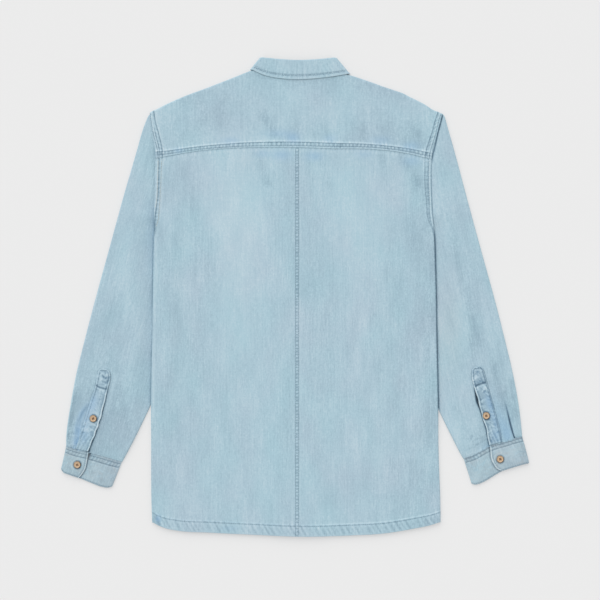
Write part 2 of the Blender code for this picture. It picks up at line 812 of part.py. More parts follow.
def collar_stations(end):
    """Stations round the neck: front left, side, back, side, front right."""
    front = [n for n in range(int(end) + 1)] + ([end] if end % 1 else [])
    stations = [("left", "front", p) for p in front[::-1]]
    stations += [("left", "side", a) for a in (135, 90, 45)]
    stations += [("left", "back", q) for q in (-1, -0.75, -0.5, -0.25)]
    stations += [("right", "back", q) for q in (0, 0.25, 0.5, 0.75, 1)]
    stations += [("right", "side", a) for a in (45, 90, 135)]
    stations += [("right", "front", p) for p in front]
    return stations


def collar_plan(side, zone, value, name, turn):
    """A plan point of the collar at one level, as its distance out and its y."""
    width = COLLAR_WIDTH[side][name]
    part = abs(value) if zone == "back" else 1
    out = part * (width - turn)
    y = back_y(name, SIGN[side] * out)
    if zone == "side":
        out += turn * math.sin(math.radians(value))
    if zone == "front":
        out *= along(COLLAR_FRONT["part"], COLLAR_FRONT[name + "_out"], value)
        y += (COLLAR_END_Y[name] - y) * along(COLLAR_FRONT["part"], COLLAR_FRONT[name + "_drop"], value)
    return np.array((out, y))


def collar_place(side, zone, value, start, finish, share, over, beyond):
    """A point of the collar between two levels. over is how far it has turned from the stand to the
    leaf, beyond how far it reaches past the head of the stand."""
    sign = SIGN[side]
    bend = sign * COLLAR_WIDTH[side][start]
    high = back_mid(bend, COLLAR_Y) + 2 * COLLAR_TURN * over
    low = front_mid(bend, COLLAR_Y) + (LEAF_LOW - front_mid(bend, COLLAR_Y)) * over
    turn = (high - low) / 2
    foot, head = (collar_plan(side, zone, value, name, turn) for name in ("foot", "head"))
    first, last = (collar_plan(side, zone, value, name, turn) for name in (start, finish))
    out, y = first + (last - first) * share + beyond * (head - foot) / np.linalg.norm(head - foot)
    if start == "head" and zone != "front":
        out += COLLAR_SPREAD * over * (1 - share) * (abs(value) if zone == "back" else 1)
    x = sign * out
    if zone == "side":
        return x, y, low + turn + turn * math.cos(math.radians(value))
    if zone == "back":
        return x, y, back_mid(x, COLLAR_Y) + 2 * COLLAR_TURN * over
    stand = front_mid(x, y) + overlap(side, x)
    return x, y, stand + (LEAF_LOW - stand) * over


def build_collar_stand():
    """A band round the neck that stands on the neck seams, its left end over its right one in front."""
    stations = collar_stations(7)
    grid = []
    for share in (0, 0.5, 1):
        grid.append([collar_place(*station, "foot", "head", share, 0, 0) for station in stations])
    return add_cloth("collar_stand", np.array(grid))


def build_collar_leaf():
    """The leaf rises from the head of the stand, turns over and falls outside it."""
    stations = collar_stations(5.4)
    rows = [(0, 0, LEAF_GAP), (0, 0, LEAF_RISE)]
    for a in np.radians((45, 90, 135)):
        rows.append((0, (1 - math.cos(a)) / 2, LEAF_RISE + COLLAR_TURN * math.sin(a)))
    rows += [(share, 1, LEAF_RISE * (1 - share)) for share in (0, 0.25, 0.5, 0.75, 1)]
    grid = [[collar_place(*station, "head", "tip", *row) for station in stations] for row in rows]
    return add_cloth("collar_leaf", np.array(grid))


def build_shown_buttons():
    names = ("button_cuff_left", "button_placket_left", "button_cuff_right", "button_placket_right")
    for name, x, y, over in zip(names, SHOWN_BUTTONS["x"], SHOWN_BUTTONS["y"], SHOWN_BUTTONS["over"]):
        if over:
            side = side_name(x)
            rows = PLACKET[side]
            mids = (rows["outer_y"] + rows["inner_y"]) / 2
            rest = np.interp(-y, -mids, placket_rest(side)) + PLACKET_CLOTH / 2
        else:
            rest = CUFF_OVER + CUFF_CLOTH / 2
        points, faces = turned(SHOWN_PROFILE, 20, (x, y, rest + LAY_GAP))
        add_object(name, points, faces, BROWN, BROWN_ROUGHNESS)


def build_front_buttons():
    for n, (x, y) in enumerate(zip(FRONT_BUTTONS["x"], FRONT_BUTTONS["y"])):
        points, faces = turned(FRONT_PROFILE, 16, (x, y, 0))
        name = f"button_front_{n}" if n else "button_stand"
        add_object(name, points, faces, BROWN, BROWN_ROUGHNESS)


def centre_all():
    """Moves the shirt so that the origin is at the middle of its base."""
    meshes = [obj.data for obj in bpy.data.objects]
    corners = np.array([v.co for mesh in meshes for v in mesh.vertices])
    middle = (corners.min(axis=0) + corners.max(axis=0)) / 2
    for mesh in meshes:
        for v in mesh.vertices:
            v.co.x -= middle[0]
            v.co.y -= middle[1]


def main():
    for obj in list(bpy.data.objects):
        bpy.data.objects.remove(obj, do_unlink=True)
    build_yoke()
    for side in ("left", "right"):
        build_back(side)
        build_front(side)
        build_sleeve(side)
        build_cuff(side)
        build_placket(side)
    build_collar_stand()
    build_collar_leaf()
    build_shown_buttons()
    build_front_buttons()
    centre_all()


main()
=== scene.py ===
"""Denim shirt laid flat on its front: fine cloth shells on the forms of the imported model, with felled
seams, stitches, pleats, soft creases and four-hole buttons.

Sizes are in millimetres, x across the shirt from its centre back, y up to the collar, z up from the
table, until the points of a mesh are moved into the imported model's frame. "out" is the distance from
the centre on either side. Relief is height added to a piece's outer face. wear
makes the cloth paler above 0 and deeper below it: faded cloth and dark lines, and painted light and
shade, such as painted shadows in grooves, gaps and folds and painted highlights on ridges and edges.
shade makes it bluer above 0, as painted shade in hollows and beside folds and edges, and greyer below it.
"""

import math

import bpy
import numpy as np
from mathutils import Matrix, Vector
from mathutils.bvhtree import BVHTree


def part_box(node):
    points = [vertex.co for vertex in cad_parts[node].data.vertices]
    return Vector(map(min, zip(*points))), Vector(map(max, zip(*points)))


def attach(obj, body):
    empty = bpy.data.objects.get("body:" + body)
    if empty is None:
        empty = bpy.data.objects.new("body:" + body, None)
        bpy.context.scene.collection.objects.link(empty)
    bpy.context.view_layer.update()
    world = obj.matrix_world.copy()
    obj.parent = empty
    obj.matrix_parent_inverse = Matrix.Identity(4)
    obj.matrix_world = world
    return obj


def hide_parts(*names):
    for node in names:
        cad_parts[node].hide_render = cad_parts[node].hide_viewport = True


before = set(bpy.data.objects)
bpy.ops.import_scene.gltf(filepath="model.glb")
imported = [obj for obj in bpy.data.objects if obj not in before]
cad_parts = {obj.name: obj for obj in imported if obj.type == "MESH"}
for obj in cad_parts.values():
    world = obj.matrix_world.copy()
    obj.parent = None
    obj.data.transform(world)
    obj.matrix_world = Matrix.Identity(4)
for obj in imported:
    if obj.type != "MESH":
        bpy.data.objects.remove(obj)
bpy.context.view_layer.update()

MM = 0.001
SIGN = {"left": -1, "right": 1}
SIDES = ("left", "right")

CLOTH = 1.2
HALF = CLOTH / 2
FELLED = 0.8
HEM_EXTRA = 1.2
CUFF_CLOTH = 1.8
PLACKET_CLOTH = 1.6
LAY_GAP = 0.5

BUTTON_LIFT = 2.9
OVERLAP_LIFT = 1.7
OVERLAP_WIDTH = 15.0
FRONT_BAND = 32.0
COLLAR_LIFT = 1.7
TUCK_LIFT = 3.3
BACK_OVER_FRONT = 4.7
BACK_SINK = 0.35
BUTTONS_ACROSS = (75.0, 22.0)
TUCK_INSIDE = (60.0, 26.0)
TUCK_TOP = (175.0, 115.0)
TUCK_FOOT = (-265.0, -205.0)
COLLAR_ACROSS = (127.0, 102.0)
COLLAR_UP = (222.0, 255.0)
OVERLAP_ACROSS = (45.0, 18.0)

CENTRE_SEAM_X = -4.1
HEM_STRIP = 20.0
HEM_LINE = 1.2
YOKE_LAP = 1.2
YOKE_FRONT_DROP = 25.0
YOKE_FRONT_GAP = 2.5
UNDERARM_Y = 113.9
SHOULDER_Y = 331.7
YOKE_Y = 255.0
NECK_Y = 300.0
COLLAR_Y = 400.0
HEM_Y = -400.0
FRONT_HEM_SHORT = 2.0
SIDE_FOLD = (UNDERARM_Y + 55, UNDERARM_Y + 5)
SIDE_INSET = 3.0
SIDE_GAP = 1.0
BODY_REACH = 254.0
BODY_LENGTH = 700.0

SLEEVE_LENGTH = 560.0
SLEEVE_WIDTH = 150.0
SLEEVE_TAPER = 40.0
SLEEVE_TOP_OUT = 250.0
SLEEVE_DROP = 590.0
SLEEVE_LOW = 0.6
SLEEVE_TUCKED = 2.15
SLEEVE_FREE = 5.3
SLEEVE_END = 3.0
SLEEVE_RISE = 30.0
CUFF_FROM = 0.84
PLEAT_RISE = 1.6
CUFF_WIDTH = 104.0
CUFF_DEPTH = 51.0
CUFF_LOW = 0.9
CUFF_UNDER = 3.0
CUFF_OVER = 5.1
CUFF_START = 0.10
CUFF_END = {"left": 0.40, "right": 0.54}
CUFF_ROWS = {"left": (5.4, 12.4), "right": (3.2, 9.0)}
CUFF_HEM_ROW = 2.3
CUFF_LAP_ROW = 3.0
PLEAT = {"left": (0.17, 0.20), "right": (0.14, 0.17)}
SLIT = {"left": (0.36, 0.41), "right": (0.51, 0.56)}
PLACKET_WIDTH = 23.0
PLACKET_TIP = 9.0
PLACKET_BAR = {"left": (34.6, 0.03), "right": (31.3, 0.38)}
PLACKET_ROWS = {"left": (3.2, 20.0), "right": (1.8, 20.0)}

COLLAR_TURN = 1.0
LEAF_GAP = 0.9
LEAF_RISE = 1.6
LEAF_LOW = 0.6
LEAF_DEPTH = 36.0
COLLAR_SPREAD = 5.0
FOOT_GAP = 1.7
NECK_OUT = {"left": 74.0, "right": 81.0}
COLLAR_WIDTH = {
    "left": {"foot": 71.6, "head": 63.6, "tip": 85.4},
    "right": {"foot": 79.6, "head": 66.4, "tip": 94.8},
}
COLLAR_END_Y = {"foot": 313.0, "head": 340.0, "tip": 262.0}
CENTRE_ROWS = (0.7, 5.9)
LEAF_ROWS = (6.3, 8.5)

BUTTON_THICK = 2.4
BUTTON_RADIUS = 6.5
HOLE_OUT = 1.75
HOLE_TURN = math.pi / 4 + 0.2
# The steps of a stitch: how far along it, how high its thread's middle is and how thick it is there.
STITCH = ((0.0, -0.22, 0.6), (0.16, 0.1, 1), (0.5, 0.2, 1), (0.84, 0.1, 1), (1.0, -0.22, 0.6))
STITCH_RADIUS = 0.34
STITCH_FILL = 0.74

CLOTH_COLOURS = (0.386, 0.562, 0.641), (0.412, 0.543, 0.629)
# The paler colour of faded cloth and painted highlights, the deeper one of dark lines and painted shade,
# and the near black of the deepest painted shadows.
FADED_AND_HIGHLIGHT_COLOUR = (0.66, 0.755, 0.80)
DEEP_COLOUR = (0.145, 0.235, 0.31)
DEEP_SHADOW_COLOUR = (0.035, 0.06, 0.085)
SHADE_COLOUR = (0.26, 0.44, 0.64)
GREY_COLOUR = (0.40, 0.42, 0.43)
BUTTON_COLOURS = (0.36, 0.20, 0.10), (0.84, 0.68, 0.48), (0.66, 0.41, 0.21)
BUTTON_DARK = (0.085, 0.05, 0.028)
FLOOR_COLOURS = (0.448, 0.448, 0.448), (0.452, 0.452, 0.452)

# Floor, light and camera. Their places are in metres, but the camera's place is in millimetres.
FLOOR_REACH = 4
FLOOR_Z = -0.0002
FLOOR_GLOW = 0.364
SUN_PLACE = (-1.0, 2.6, 2.2)
SUN_SPREAD = 60.0
SUN_STRENGTH = 1.5
SKY_STRENGTH = 0.745
LENS = 85
SENSOR = 36
VIEW_WIDTH = 1.08
CAMERA_PLACE = (4.5, -4.86, 6.0)


def table(names, rows):
    """The columns of a table by name. Its first column is what the others are looked up by."""
    return dict(zip(names.split(), np.array(rows, float).T))


SIDE = table("y left right", (
    (-431.5, 260.8, 257), (-405.4, 261.9, 257.7), (-361.3, 263.3, 257.2), (-318.1, 263.7, 255.5),
    (-274.9, 263.7, 254.2), (-192.1, 263.7, 253.4), (-94.9, 262.3, 251.1), (-4.9, 260.8, 249.7),
    (67.1, 259.6, 247.9), (113.9, 258.7, 246.1), (170.3, 257.6, 243), (229.1, 256.5, 241.7),
    (259.7, 255.8, 242.8), (293.2, 261.5, 252.4), (331.7, 265.9, 262.6),
))
HEM = table("x y", (
    (-263.7, -405), (-254.7, -410.2), (-242.1, -415.5), (-217.8, -420.4), (-160.2, -423.8),
    (-73.8, -427.9), (12.6, -430.9), (99, -428.8), (156.6, -425.4), (214.2, -416.2), (243, -410.2),
    (258.7, -405),
))
SHOULDER = table("x y", (
    (-265.9, 332.6), (-246.6, 342.5), (-217.8, 356.2), (-160.2, 378.4), (-102.6, 400.7), (-85.5, 407.5),
    (-74, 411), (81, 404.2), (94.5, 400), (127.8, 389.3), (156.6, 378.9), (176, 372.4), (189, 367.9),
    (203, 360.6), (214.2, 355.3), (232, 345.6), (243, 338.2), (254, 333.6), (262.6, 329.9),
))
YOKE_SEAM = table("x y", (
    (-256.1, 248.9), (-247.5, 250.7), (-211.5, 257.9), (-175.5, 263.3), (-126.9, 267.3), (-58.5, 269.5),
    (0, 269.1), (60.3, 267.1), (134.1, 265.9), (184.5, 260.6), (206.1, 256.5), (233.1, 249.7),
    (242.1, 247.9),
))
BACK_NECK = table("x y", (
    (-74, 407), (-55, 401.2), (-25, 396.9), (0, 395.6), (27, 396.2), (58, 398.6), (81, 400.6),
))
FRONT_NECK = table("part y", (
    (0, 310), (0.3, 314.5), (0.6, 327), (0.85, 347), (0.96, 366), (1, 378),
))
SLEEVE_OUTER = {
    "left": table("out y", (
        (266.5, 332), (276.5, 307.4), (289.1, 264.2), (314.3, 177.8), (338, 91.4), (367.7, -16.6),
        (390.1, -103), (406.4, -167.8), (416.2, -211), (418.2, -238.9), (416.9, -268),
    )),
    "right": table("out y", (
        (263.2, 331.7), (270, 307.4), (282.2, 264.2), (305.3, 177.8), (328.9, 91.4), (358.6, -16.6),
        (380.2, -103), (396, -167.8), (401.8, -211), (403.9, -232.6), (405, -250.2),
    )),
}
SLEEVE_INNER = {
    "left": table("out y", (
        (259.3, 113.9), (259.3, 88.7), (257.2, 40.1), (250.2, -22.9), (243.9, -85.9), (245.7, -145.3),
        (263.7, -192.1), (272.2, -211), (292.3, -254.2), (315.9, -295.2),
    )),
    "right": table("out y", (
        (246.7, 113.9), (246.9, 88.7), (244.7, 40.1), (239.4, -22.9), (233.1, -85.9), (234.9, -148.9),
        (253.8, -201.1), (268, -232.6), (289.1, -275.8), (299, -289.5),
    )),
}
CUFF = {
    "left": table("part seam_out seam_y hem_out hem_y", (
        (0, 416.9, -268, 426, -309), (0.05, 411.9, -269.4, 422.6, -314.4),
        (0.17, 399.6, -273.5, 411.6, -319.4), (0.38, 378.1, -278.4, 392.6, -326),
        (0.62, 354.4, -284.4, 370.4, -335), (0.8, 336.2, -289.6, 353.6, -341.2),
        (0.95, 320.8, -293.9, 339.2, -342.6), (1, 315.9, -295.2, 334.2, -340.8),
    )),
    "right": table("part seam_out seam_y hem_out hem_y", (
        (0, 405, -250.2, 417.6, -298.6), (0.136, 390.6, -253.8, 403.2, -302.2),
        (0.305, 372.7, -259.4, 385.8, -307.4), (0.47, 355.2, -264.3, 368.7, -313.2),
        (0.545, 347.2, -267, 360.8, -317.4), (0.694, 331.4, -275.3, 345.4, -327),
        (0.813, 318.8, -282.2, 333, -333.8), (0.95, 304.4, -287.6, 318.8, -337.4),
        (1, 299, -289.5, 314, -335.8),
    )),
}
PLACKET = {
    "left": table("outer_out outer_y inner_out inner_y", (
        (355.6, -128.6, 340.1, -129), (360, -139.9, 336.9, -143), (363.8, -160.4, 342.2, -167.2),
        (370.2, -179, 347.5, -191), (376.6, -198.2, 353.7, -215.5), (387.9, -235.3, 362.9, -243),
        (399, -272.4, 377, -277.4),
    )),
    "right": table("outer_out outer_y inner_out inner_y", (
        (331.5, -124.9, 316, -125.3), (336.2, -137.5, 313.6, -139.5), (343.3, -163.3, 318.6, -163.8),
        (348.5, -182, 324.4, -182.5), (353.7, -201.1, 329.8, -205), (362.7, -233.5, 340.2, -240),
        (368.3, -260, 345, -266.4),
    )),
}
COLLAR_FRONT = table("part foot_out foot_drop head_out head_drop tip_out tip_drop", (
    (0, 1, 0, 1, 0, 1, 0), (1, 0.985, 0.214, 0.94, 0.24, 1, 0.2),
    (2, 0.94, 0.397, 0.8, 0.45, 0.99, 0.38), (3, 0.832, 0.606, 0.6, 0.64, 0.96, 0.56),
    (4, 0.59, 0.812, 0.38, 0.84, 0.9, 0.74), (5, 0.3, 0.947, 0.19, 0.96, 0.82, 0.89),
    (6, 0, 1, 0, 1, 0.66, 1), (7, -0.2, 1, -0.24, 1, 0.5, 1),
))
COLLAR_FOLD = table("x y", (
    (-66.8, 432.6), (-35.1, 429.1), (-0.9, 426.9), (33.3, 428.4), (69.8, 432.4),
))
COLLAR_EDGE = table("x y", (
    (-86, 411.8), (-74, 405.6), (-63.9, 401), (-45.9, 396), (-26.1, 393.1), (0, 391.7), (22.5, 392.6),
    (58.5, 396.5), (76.5, 399.2), (95.4, 402.6),
))
# Where the two rows of stitches lie inside each armhole seam, and above the yoke seam.
ARMHOLE_ROWS = {
    "left": table("y near far", (
        (100, 0, 1), (126, 0.2, 3.8), (139, 0.5, 7.6), (154, 1.4, 8.8), (175, 4, 10), (204, 5.2, 11),
        (240, 5.2, 11.4), (268, 4.2, 12.8), (294, 2.2, 11.8), (316, 0.8, 8.4), (345, 0.5, 7.2),
    )),
    "right": table("y near far", (
        (100, 0.6, 1.6), (124, 1.4, 4), (138, 4, 9), (170, 5, 10.8), (200, 5.3, 12.4), (240, 5, 12.4),
        (262, 4.2, 12.2), (280, 3.9, 11.8), (302, 4.3, 11.2), (318, 4.8, 11.3), (345, 2.6, 9),
    )),
}
YOKE_ROWS = table("x low high", (
    (-252, 6, 12), (-238, 4.8, 10), (-212, 3.4, 8.4), (-175, 2.9, 7.8), (-90, 3, 8.8), (-26, 3.2, 9.6),
    (60, 4.2, 10), (134, 4, 8.7), (184, 4, 8.8), (206, 4.4, 9.6), (235, 5.4, 11),
))
CUFF_LAP = {
    "left": table("down reach", (
        (0, 0.4), (0.17, 0.408), (0.41, 0.425), (0.63, 0.43), (0.83, 0.405), (1, 0.365),
    )),
    "right": table("down reach", (
        (0, 0.555), (0.12, 0.562), (0.43, 0.585), (0.65, 0.57), (0.85, 0.535), (1, 0.47),
    )),
}
# Paler and darker patches, standing both for faded cloth and for painted light and shade: the middle, how
# wide and how high, and how much lighter.
BACK_PATCHES = (
    (-112, 150, 46, 125, 0.32), (-108, -60, 52, 120, 0.12), (-22, 215, 20, 50, -0.06),
    (-158, 65, 20, 60, -0.16), (-180, 130, 14, 110, -0.13), (-180, -105, 30, 60, -0.12),
    (-232, 60, 22, 260, -0.1), (-232, 130, 14, 40, 0.14), (20, 20, 30, 300, -0.05),
    (165, 60, 50, 100, -0.13), (212, 130, 18, 70, -0.14), (225, -135, 18, 50, 0.16),
    (120, 112, 60, 115, 0.24), (70, 205, 40, 60, 0.12), (238, -60, 18, 220, -0.26),
    (208, -130, 40, 90, -0.1), (60, -250, 60, 120, 0.06), (-60, -330, 90, 60, 0.05),
    (150, -340, 90, 60, 0.02), (70, -100, 60, 200, -0.07), (215, -350, 50, 60, -0.16),
    (-170, 180, 40, 50, 0.1), (-95, 248, 85, 14, 0.13),
)
YOKE_PATCHES = (
    (-155, 345, 50, 30, -0.12), (195, 285, 45, 30, -0.12), (-190, 300, 50, 26, -0.1),
    (-60, 345, 60, 26, 0.08), (70, 330, 40, 24, 0.1), (-195, 372, 30, 16, -0.14),
    (170, 380, 60, 18, -0.16), (-130, 290, 60, 18, 0.1), (-95, 288, 80, 12, 0.12),
    (150, 300, 50, 26, -0.06), (-20, 290, 30, 14, -0.14),
)
# Bluer patches, and the short tucks that the yoke seam pulls, sunk and painted darker as shade: a line, how
# wide and how deep.
BACK_SHADES = (
    (-28, 256, 17, 10, 0.7), (30, 254, 17, 9, 0.7), (-62, 258, 14, 7, 0.5), (205, 246, 16, 10, 0.6),
    (120, 258, 16, 7, 0.4), (-251, -399, 5, 7, 1), (-122, -416, 14, 5, 0.3),
)
YOKE_SHADES = (
    (-32, 294, 26, 8, 0.5), (-8, 286, 12, 9, 0.8), (-214, 264, 9, 5, 0.6), (58, 285, 12, 8, 0.5),
    (150, 282, 18, 8, 0.5), (204, 272, 16, 8, 0.7), (-120, 282, 16, 6, 0.5),
)
BACK_TUCKS = (
    (-76, 262, -48, 196, 15, -0.24), (36, 262, 62, 190, 14, -0.2), (184, 262, 222, 196, 15, -0.3),
    (-132, 262, -128, 225, 10, -0.18), (150, 262, 154, 232, 10, -0.18),
    (-205, 250, -188, 150, 16, -0.12),
)
YOKE_TUCKS = (
    (-66, 338, -40, 284, 13, -0.28), (1, 318, -2, 280, 10, -0.2), (46, 316, 54, 280, 10, -0.2),
    (206, 318, 225, 266, 13, -0.26), (122, 312, 112, 276, 10, -0.15),
)
# The same on the sleeves, by part and reach.
SLEEVE_PATCHES = {
    "left": (
        (0.38, 0.88, 0.16, 0.2, -0.14), (0.28, 0.35, 0.2, 0.25, 0.08), (0.65, 0.35, 0.14, 0.3, -0.08),
        (0.9, 0.45, 0.2, 0.5, -0.36), (0.93, 0.78, 0.08, 0.2, 0.12),
    ),
    "right": (
        (0.42, 0.86, 0.3, 0.16, 0.14), (0.5, 0.25, 0.25, 0.2, -0.14), (0.86, 0.8, 0.12, 0.2, 0.08),
        (0.9, 0.25, 0.12, 0.14, -0.34),
    ),
}
# Long soft streaks of the sleeves in plan, raised and painted lighter and darker with their height as light
# and shade: a line, how wide and how much lighter.
SLEEVE_STREAKS = {
    "left": (
        (288, 150, 300, -10, 16, -0.1), (330, 40, 345, -110, 14, -0.05), (300, 10, 322, -120, 12, 0.08),
        (272, 60, 285, -90, 12, 0.1), (398, -160, 424, -292, 12, -0.42),
        (323, -155, 300, -262, 10, -0.16),
    ),
    "right": (
        (272, 160, 286, 72, 13, -0.12), (285, 78, 301, 8, 10, -0.18), (300, 14, 328, -90, 10, -0.2),
        (284, 20, 306, -96, 12, 0.12), (330, 20, 352, -110, 12, 0.12), (352, -120, 372, -205, 9, -0.25),
        (372, -160, 386, -228, 8, -0.34), (384, -145, 396, -222, 10, -0.34),
        (310, -66, 322, -115, 9, -0.26), (286, -190, 306, -256, 13, -0.16),
        (250, -70, 254, -118, 9, -0.2),
    ),
}
# And on the cuffs, by reach and by share of the way down.
CUFF_PATCHES = {
    "left": (
        (0.28, 0.12, 0.1, 0.25, 0.3),
    ),
    "right": (
        (0.92, 0.82, 0.16, 0.3, 0.3), (0.5, 0.5, 0.1, 0.4, 0.25), (0.3, 0.05, 0.07, 0.15, -0.25),
        (0.25, 0.5, 0.2, 0.5, 0.2), (0.8, 0.5, 0.2, 0.5, 0.12),
    ),
}
# The soft fold left of the left placket, from top to cuff, painted as a line of shade with a highlight
# beside it.
SLEEVE_LOBE = (
    (372.2, -187.4), (387, -207), (395.3, -226.1), (399.2, -272.3),
)
# Soft ridges (or, with a negative height, troughs) of the back: a line, how wide it is, how high.
BACK_CREASES = (
    (-150, 240, -120, -150, 60, 1.1), (-60, 230, -35, -60, 34, 0.6), (-195, 150, -150, -330, 34, -0.8),
    (70, 235, 110, 20, 55, 1.1), (165, 240, 190, -120, 26, -0.7), (140, 60, 120, -340, 42, 0.8),
    (215, 180, 205, -300, 18, 0.7), (-225, 60, -235, -300, 16, 0.7), (-40, -120, -30, -380, 22, 0.45),
    (40, -60, 55, -390, 26, -0.5), (30, 240, 28, 30, 14, -0.45), (-30, 245, -36, 40, 12, -0.4),
)
YOKE_CREASES = (
    (-215, 290, -120, 370, 20, 0.7), (-140, 285, -90, 350, 26, -0.5), (200, 285, 120, 365, 22, 0.7),
    (60, 290, 100, 360, 26, -0.45), (-20, 285, 10, 370, 40, 0.5),
)
# Sleeve creases by side: from part and reach to part and reach, width in millimetres, height.
SLEEVE_CREASES = {
    "left": (
        (0.1, 0.3, 0.62, 0.3, 30, 0.9), (0.16, 0.66, 0.5, 0.58, 26, -0.6),
        (0.42, 0.16, 0.8, 0.1, 13, 0.6), (0.55, 0.62, 0.9, 0.66, 22, 0.8),
        (0.62, 0.84, 0.97, 0.82, 14, 0.7), (0.7, 0.48, 0.96, 0.55, 10, -0.6),
        (0.04, 0.8, 0.2, 0.55, 16, -0.7),
    ),
    "right": (
        (0.08, 0.34, 0.6, 0.32, 30, 0.9), (0.2, 0.7, 0.55, 0.62, 24, -0.6),
        (0.44, 0.22, 0.84, 0.24, 13, 0.7), (0.58, 0.7, 0.92, 0.74, 22, 0.8),
        (0.6, 0.1, 0.94, 0.09, 9, 0.6), (0.66, 0.62, 0.95, 0.66, 10, -0.5),
        (0.05, 0.82, 0.22, 0.58, 16, -0.7),
    ),
}
# Pleats by side: part and reach where the fold starts and ends, its height and how far it fades.
PLEAT_FOLDS = {
    "left": (
        (0.81, 0.155, 0.97, 0.19, 1.2, 9), (0.92, 0.05, 1, 0.08, 0.6, 5),
    ),
    "right": (
        (0.82, 0.17, 0.975, 0.105, 2.2, 12), (0.93, 0.225, 0.985, 0.24, 0.9, 4),
        (0.88, 0.315, 0.97, 0.365, 0.9, 5), (0.93, 0.66, 1, 0.68, 0.5, 6),
        (0.94, 0.74, 1, 0.77, 0.4, 5),
    ),
}
BUTTON_FACE = table("out z", (
    (0, -0.55), (4, -0.5), (4.7, -0.3), (5.3, 0), (6, 0), (6.35, -0.18), (BUTTON_RADIUS, -0.65),
))
# Lines inside the free edges of the back, painted light and shade: how far in, how wide and how much
# lighter; on the left a highlight and a shadow, on the right a deep shadow.
BACK_EDGES = {"left": ((4.5, 2.5, 0.2), (0.4, 1.2, -0.3)), "right": ((0.4, 1.5, -1.0),)}
# How deep the painted shade in the grooves of the armhole's stitched rows is and how pale the cloth between
# them, on the back and on the yoke.
ARMHOLE_DARK = {
    "left": (((0.1, 0.6), -0.1), ((0.75, 1.35), -0.1)),
    "right": (((0.2, 0.35), -0.2), ((0.65, 0.9), -0.25)),
}
# Bluer patches of the sleeves by part and reach, and on the right sleeve in plan, patches painted darker as
# shade in its gathers and greyer ones.
SLEEVE_SHADES = {
    "left": ((0.91, 0.2, 0.06, 0.09, 0.75), (0.85, 0.3, 0.05, 0.05, 0.375)),
    "right": ((0.92, 0.22, 0.06, 0.09, 0.9), (0.96, 0.62, 0.04, 0.1, 0.54), (0.87, 0.3, 0.06, 0.06, 0.45)),
}
SLEEVE_PULLS = ((338, -262, 13, 16, 1.0), (330, -236, 12, 14, 0.6))
SLEEVE_GREY = ((274, -55, 22, 85, -0.35),)
# Bumps of the cuffs across and down them, raised and painted lighter and darker with their height, and
# bluer patches down and across the plackets.
CUFF_BUMPS = ((12, 24, 40, 30, 12, 0.6), (60, 20, 92, 36, 14, 0.5), (70, 42, 95, 24, 9, -0.4))
PLACKET_SHADES = ((66, 5, 16, 7, 1.0), (96, 4, 20, 6, 0.9), (128, 8, 14, 9, 0.8))


def rise(value, start, end):
    """From 0 at start to 1 at end, level before and after."""
    t = np.clip((value - start) / (end - start), 0, 1)
    return t * t * (3 - 2 * t)


def smooth(xs, ys, x):
    """The smooth curve through points, level beyond its ends."""
    slopes = np.gradient(ys, xs)
    x = np.clip(x, xs[0], xs[-1])
    i = np.clip(np.searchsorted(xs, x, side="right") - 1, 0, len(xs) - 2)
    span = xs[i + 1] - xs[i]
    t = (x - xs[i]) / span
    start = ys[i] * (1 + 2 * t) * (1 - t) ** 2 + slopes[i] * span * t * (1 - t) ** 2
    end = ys[i + 1] * t * t * (3 - 2 * t) - slopes[i + 1] * span * t * t * (1 - t)
    return start + end


def along(rows, x, name="y"):
    """A column of a table, looked up by its first one."""
    return smooth(next(iter(rows.values())), rows[name], x)


def run_of(xs, ys):
    """How far the points of a line lie along it."""
    return np.concatenate([[0], np.cumsum(np.hypot(np.diff(xs), np.diff(ys)))])


def track(rows, part):
    """The points a part of the way along a line of points, by its length."""
    reached = run_of(rows["out"], rows["y"])
    return [smooth(reached / reached[-1], rows[name], part) for name in ("out", "y")]


def spaced(*runs):
    """Values in runs of (start, end, step), each run starting where the last one ends."""
    values = [np.linspace(a, b, max(2, int(round(abs(b - a) / step)) + 1)) for a, b, step in runs]
    return np.unique(np.round(np.concatenate(values), 6))


def wave(s, period, seed):
    """An uneven ripple along s, within -1 and 1."""
    turn = 2 * np.pi * s / period
    drift = 1.1 * np.sin(turn / 4.7 + seed) + 0.8 * np.sin(turn / 7.9 + 2.3 * seed)
    return np.sin(turn + drift) * (0.7 + 0.3 * np.sin(turn / 5.3 + 3.1 * seed))


def spots(s, period, seed):
    """Uneven spots along s, from 0 to 1."""
    turn = 2 * np.pi * s / period
    drift = 0.8 * np.sin(turn / 5.3 + seed) + 0.7 * np.sin(turn / 8.9 + 2.3 * seed)
    size = 0.74 + 0.26 * np.sin(turn / 3.7 + 3.1 * seed)
    return size * (0.5 + 0.5 * np.cos(turn + drift)) ** 1.4


def bell(d, width):
    """A bump of 1 at 0 that fades out on both sides."""
    return np.exp(-((d / width) ** 2))


def fading(d, reach):
    """From 1 at a line, fading out beyond it."""
    return np.exp(-np.maximum(d, 0) / reach)


def lines(d, *rows):
    """Soft lines across a distance, summed: where each lies, how wide and how strong it is."""
    return sum(size * bell(d - at, width) for at, width, size in rows)


def soft_patches(x, y, rows):
    """Soft patches, summed."""
    return sum(size * np.exp(-(((x - x0) / wide) ** 2) - ((y - y0) / high) ** 2)
               for x0, y0, wide, high, size in rows)


def crease(x, y, rows):
    """The height of soft ridges and troughs, each fading out beyond the ends of its line."""
    high = 0
    for x0, y0, x1, y1, width, size in rows:
        length = math.hypot(x1 - x0, y1 - y0)
        ux, uy = (x1 - x0) / length, (y1 - y0) / length
        s = (x - x0) * ux + (y - y0) * uy
        d = (x - x0) * uy - (y - y0) * ux + 0.06 * width * np.sin(s / width * 1.7 + x0)
        fade = rise(s, -0.35 * width, 0.6 * width) * rise(s, length + 0.35 * width, length - 0.6 * width)
        high = high + size * bell(d, width * 0.6) * fade * (0.85 + 0.15 * np.sin(s / width * 2.3 + y0))
    return high


